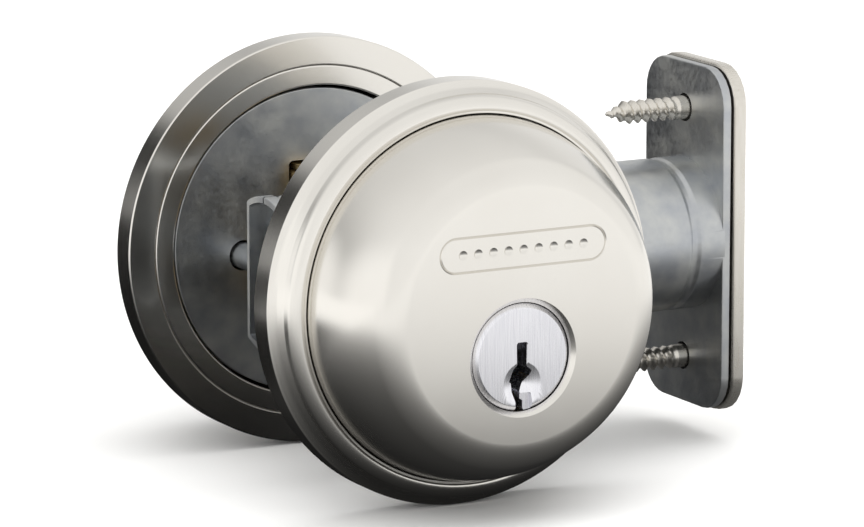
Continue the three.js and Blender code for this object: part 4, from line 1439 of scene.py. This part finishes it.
back = Vector((
    math.sin(AZIMUTH) * math.cos(ELEVATION),
    -math.cos(AZIMUTH) * math.cos(ELEVATION),
    math.sin(ELEVATION),
))
camera = bpy.data.objects.new("camera", bpy.data.cameras.new("camera"))
camera.data.sensor_width = 36
camera.data.lens = camera.data.sensor_width * DISTANCE / WIDTH_SHOWN
camera.data.clip_start = 0.01
camera.location = TARGET + back * DISTANCE
camera.rotation_euler = back.to_track_quat("Z", "Y").to_euler()
bpy.context.scene.collection.objects.link(camera)
bpy.context.scene.camera = camera
print(f"lens {camera.data.lens:.0f} mm")

# %% [markdown]
# ## The studio
# Polished metal shows what is round it, so the light is drawn as a sky: pale all over the front and dimmer
# behind. Four cards hang in it, each a soft lobe about one direction. Three are bright, where a highlight
# should run, and one behind the lock is black, to draw an edge. The lens sees plain white instead, and the
# floor is hidden from reflections.

# %% Sky
world = bpy.data.worlds.new("studio")
bpy.context.scene.world = world
world.use_nodes = True
sky = world.node_tree
sky.nodes.clear()


def soft_step(tree, value, from_low, from_high, to_low=0.0, to_high=1.0):
    node = tree.nodes.new("ShaderNodeMapRange")
    node.interpolation_type = "SMOOTHSTEP"
    labels = ("From Min", "From Max", "To Min", "To Max")
    for label, number in zip(labels, (from_low, from_high, to_low, to_high)):
        node.inputs[label].default_value = number
    tree.links.new(value, node.inputs["Value"])
    return node.outputs["Result"]


def lobe(tree, direction, towards, inner, outer):
    """1 within the inner angle of a direction, falling to 0 at the outer one."""
    dot = tree.nodes.new("ShaderNodeVectorMath")
    dot.operation = "DOT_PRODUCT"
    tree.links.new(direction, dot.inputs[0])
    dot.inputs[1].default_value = Vector(towards).normalized()
    edges = (math.cos(math.radians(outer)), math.cos(math.radians(inner)))
    return soft_step(tree, dot.outputs["Value"], *edges)


def moved(tree, level, target, share):
    """Moves the level towards a target by a share from 0 to 1."""
    change = number_node(tree, "MULTIPLY", number_node(tree, "SUBTRACT", target, level), share)
    return number_node(tree, "ADD", level, change)


direction = sky.nodes.new("ShaderNodeTexCoord").outputs["Generated"]
axes = sky.nodes.new("ShaderNodeSeparateXYZ")
sky.links.new(direction, axes.inputs["Vector"])
front_level = soft_step(sky, axes.outputs["Z"], -0.1, 0.9, to_low=1.05, to_high=0.98)
behind_level = soft_step(sky, axes.outputs["Z"], 0.0, 0.8, to_low=0.2, to_high=0.8)
level = moved(sky, front_level, behind_level, soft_step(sky, axes.outputs["Y"], -0.1, 0.65))

# Towards, full within this angle, gone at this one, level.
CARDS = [
    ((-0.98, -0.05, 0.05), 16, 36, 1.15),
    ((0.75, 0.62, 0.1), 16, 40, 0.9),
    ((-0.44, 0.87, 0.10), 14, 24, 0.02),
    ((-0.72, 0.66, 0.08), 6, 22, 1.1),
]
for towards, inner, outer, target in CARDS:
    level = moved(sky, level, target, lobe(sky, direction, towards, inner, outer))

WARMTH = (1.0, 0.995, 0.98)
tint = sky.nodes.new("ShaderNodeCombineColor")
for channel, share in zip(("Red", "Green", "Blue"), WARMTH):
    sky.links.new(number_node(sky, "MULTIPLY", level, share), tint.inputs[channel])
lit = sky.nodes.new("ShaderNodeBackground")
sky.links.new(tint.outputs["Color"], lit.inputs["Color"])
plain = sky.nodes.new("ShaderNodeBackground")
plain.inputs["Color"].default_value = (1, 1, 1, 1)
choose = sky.nodes.new("ShaderNodeMixShader")
sky.links.new(sky.nodes.new("ShaderNodeLightPath").outputs["Is Camera Ray"], choose.inputs["Fac"])
sky.links.new(lit.outputs["Background"], choose.inputs[1])
sky.links.new(plain.outputs["Background"], choose.inputs[2])
sky.links.new(choose.outputs["Shader"], sky.nodes.new("ShaderNodeOutputWorld").inputs["Surface"])
bpy.context.scene.view_settings.view_transform = "Standard"
print("sky nodes:", len(sky.nodes))

# %% [markdown]
# ## The floor
# The lock stands on its two trim rings, on a floor of pale matt paper wide enough to fill the picture.

# %% Floor
FLOOR_SIZE = 6.0
FLOOR_DROP = 0.0002
floor_shape = bmesh.new()
bmesh.ops.create_grid(floor_shape, x_segments=12, y_segments=12, size=FLOOR_SIZE / 2)
floor = object_from(floor_shape, "floor")
floor.location.z = cad_box[0].z - FLOOR_DROP
floor.visible_glossy = False
floor_paper = bpy.data.materials.new("floor_paper")
floor_paper.use_nodes = True
paper = floor_paper.node_tree.nodes["Principled BSDF"]
paper.inputs["Base Color"].default_value = (0.93, 0.93, 0.925, 1)
paper.inputs["Roughness"].default_value = 0.9
paper.inputs["Specular IOR Level"].default_value = 0.1
floor.data.materials.append(floor_paper)
print(f"a floor {FLOOR_SIZE:.0f} m wide")

# %% [markdown]
# What the metal sees below the horizon is the table. A glossy table would show up in the picture, so a second
# sheet just above the floor is seen by reflections alone. It is dark close to the lock, where a real one
# would lie in its shadow, and grows pale with distance. One wedge of it is bright, for the streak on the
# housing's flank. Two wedges beside it are black, for the ring's edge and the foot of the flank.

# %% The table that reflections see
CARD_DROP = 0.0001
TABLE_DARK = 0.01
TABLE_RISE = 1.1
card_shape = bmesh.new()
bmesh.ops.create_circle(card_shape, cap_ends=True, segments=64, radius=FLOOR_SIZE / 2)
card = object_from(card_shape, "table_card")
card.location = (0, MID * MM, cad_box[0].z - CARD_DROP)
for hidden in ("visible_camera", "visible_diffuse", "visible_shadow", "visible_transmission"):
    setattr(card, hidden, False)
glow = bpy.data.materials.new("table_glow")
glow.use_nodes = True
table = glow.node_tree
table.nodes.clear()
spot = table.nodes.new("ShaderNodeTexCoord").outputs["Object"]
size = table.nodes.new("ShaderNodeVectorMath")
size.operation = "LENGTH"
table.links.new(spot, size.inputs[0])
distance = size.outputs["Value"]
unit = table.nodes.new("ShaderNodeVectorMath")
unit.operation = "NORMALIZE"
table.links.new(spot, unit.inputs[0])
heading_there = unit.outputs["Vector"]
level = number_node(table, "MULTIPLY", soft_step(table, distance, 0.02, 0.24), TABLE_RISE)
level = number_node(table, "ADD", level, TABLE_DARK)

# Heading, full within this angle, gone at this one, begins at this distance, full from this one, level.
WEDGES = [
    (96, 14, 26, 0.07, 0.10, 0.02),
    (128, 16, 52, 0.02, 0.05, 0.01),
    (158, 21, 27, 0.12, 0.20, 1.25),
]
for heading, inner, outer, near, far, target in WEDGES:
    towards = (math.cos(math.radians(heading)), math.sin(math.radians(heading)), 0)
    aside = lobe(table, heading_there, towards, inner, outer)
    share = number_node(table, "MULTIPLY", aside, soft_step(table, distance, near, far))
    level = moved(table, level, target, share)
glowing = table.nodes.new("ShaderNodeEmission")
glowing.inputs["Color"].default_value = (*WARMTH, 1)
table.links.new(level, glowing.inputs["Strength"])
table.links.new(glowing.outputs["Emission"], table.nodes.new("ShaderNodeOutputMaterial").inputs["Surface"])
card.data.materials.append(glow)
print("table nodes:", len(table.nodes))

# %% [markdown]
# ## Lamps
# Two large soft lamps add what the sky can't: a shadow under the lock and a gentle lead from the left. The
# metal doesn't mirror them.

# %% Lamps
def softbox(name, towards, distance, size, watts):
    lamp = bpy.data.lights.new(name, "AREA")
    lamp.shape = "RECTANGLE"
    lamp.size, lamp.size_y = size
    lamp.energy = watts
    obj = bpy.data.objects.new(name, lamp)
    obj.location = TARGET + Vector(towards).normalized() * distance
    obj.rotation_euler = Vector(towards).to_track_quat("Z", "Y").to_euler()
    obj.visible_glossy = False
    bpy.context.scene.collection.objects.link(obj)


softbox("top_softbox", (0.1, -0.1, 1.0), 0.9, (1.2, 1.2), 7)
softbox("left_softbox", (-0.8, -0.5, 0.5), 0.8, (0.6, 0.9), 2.5)
print("lamps:", [lamp.name for lamp in bpy.data.lights])
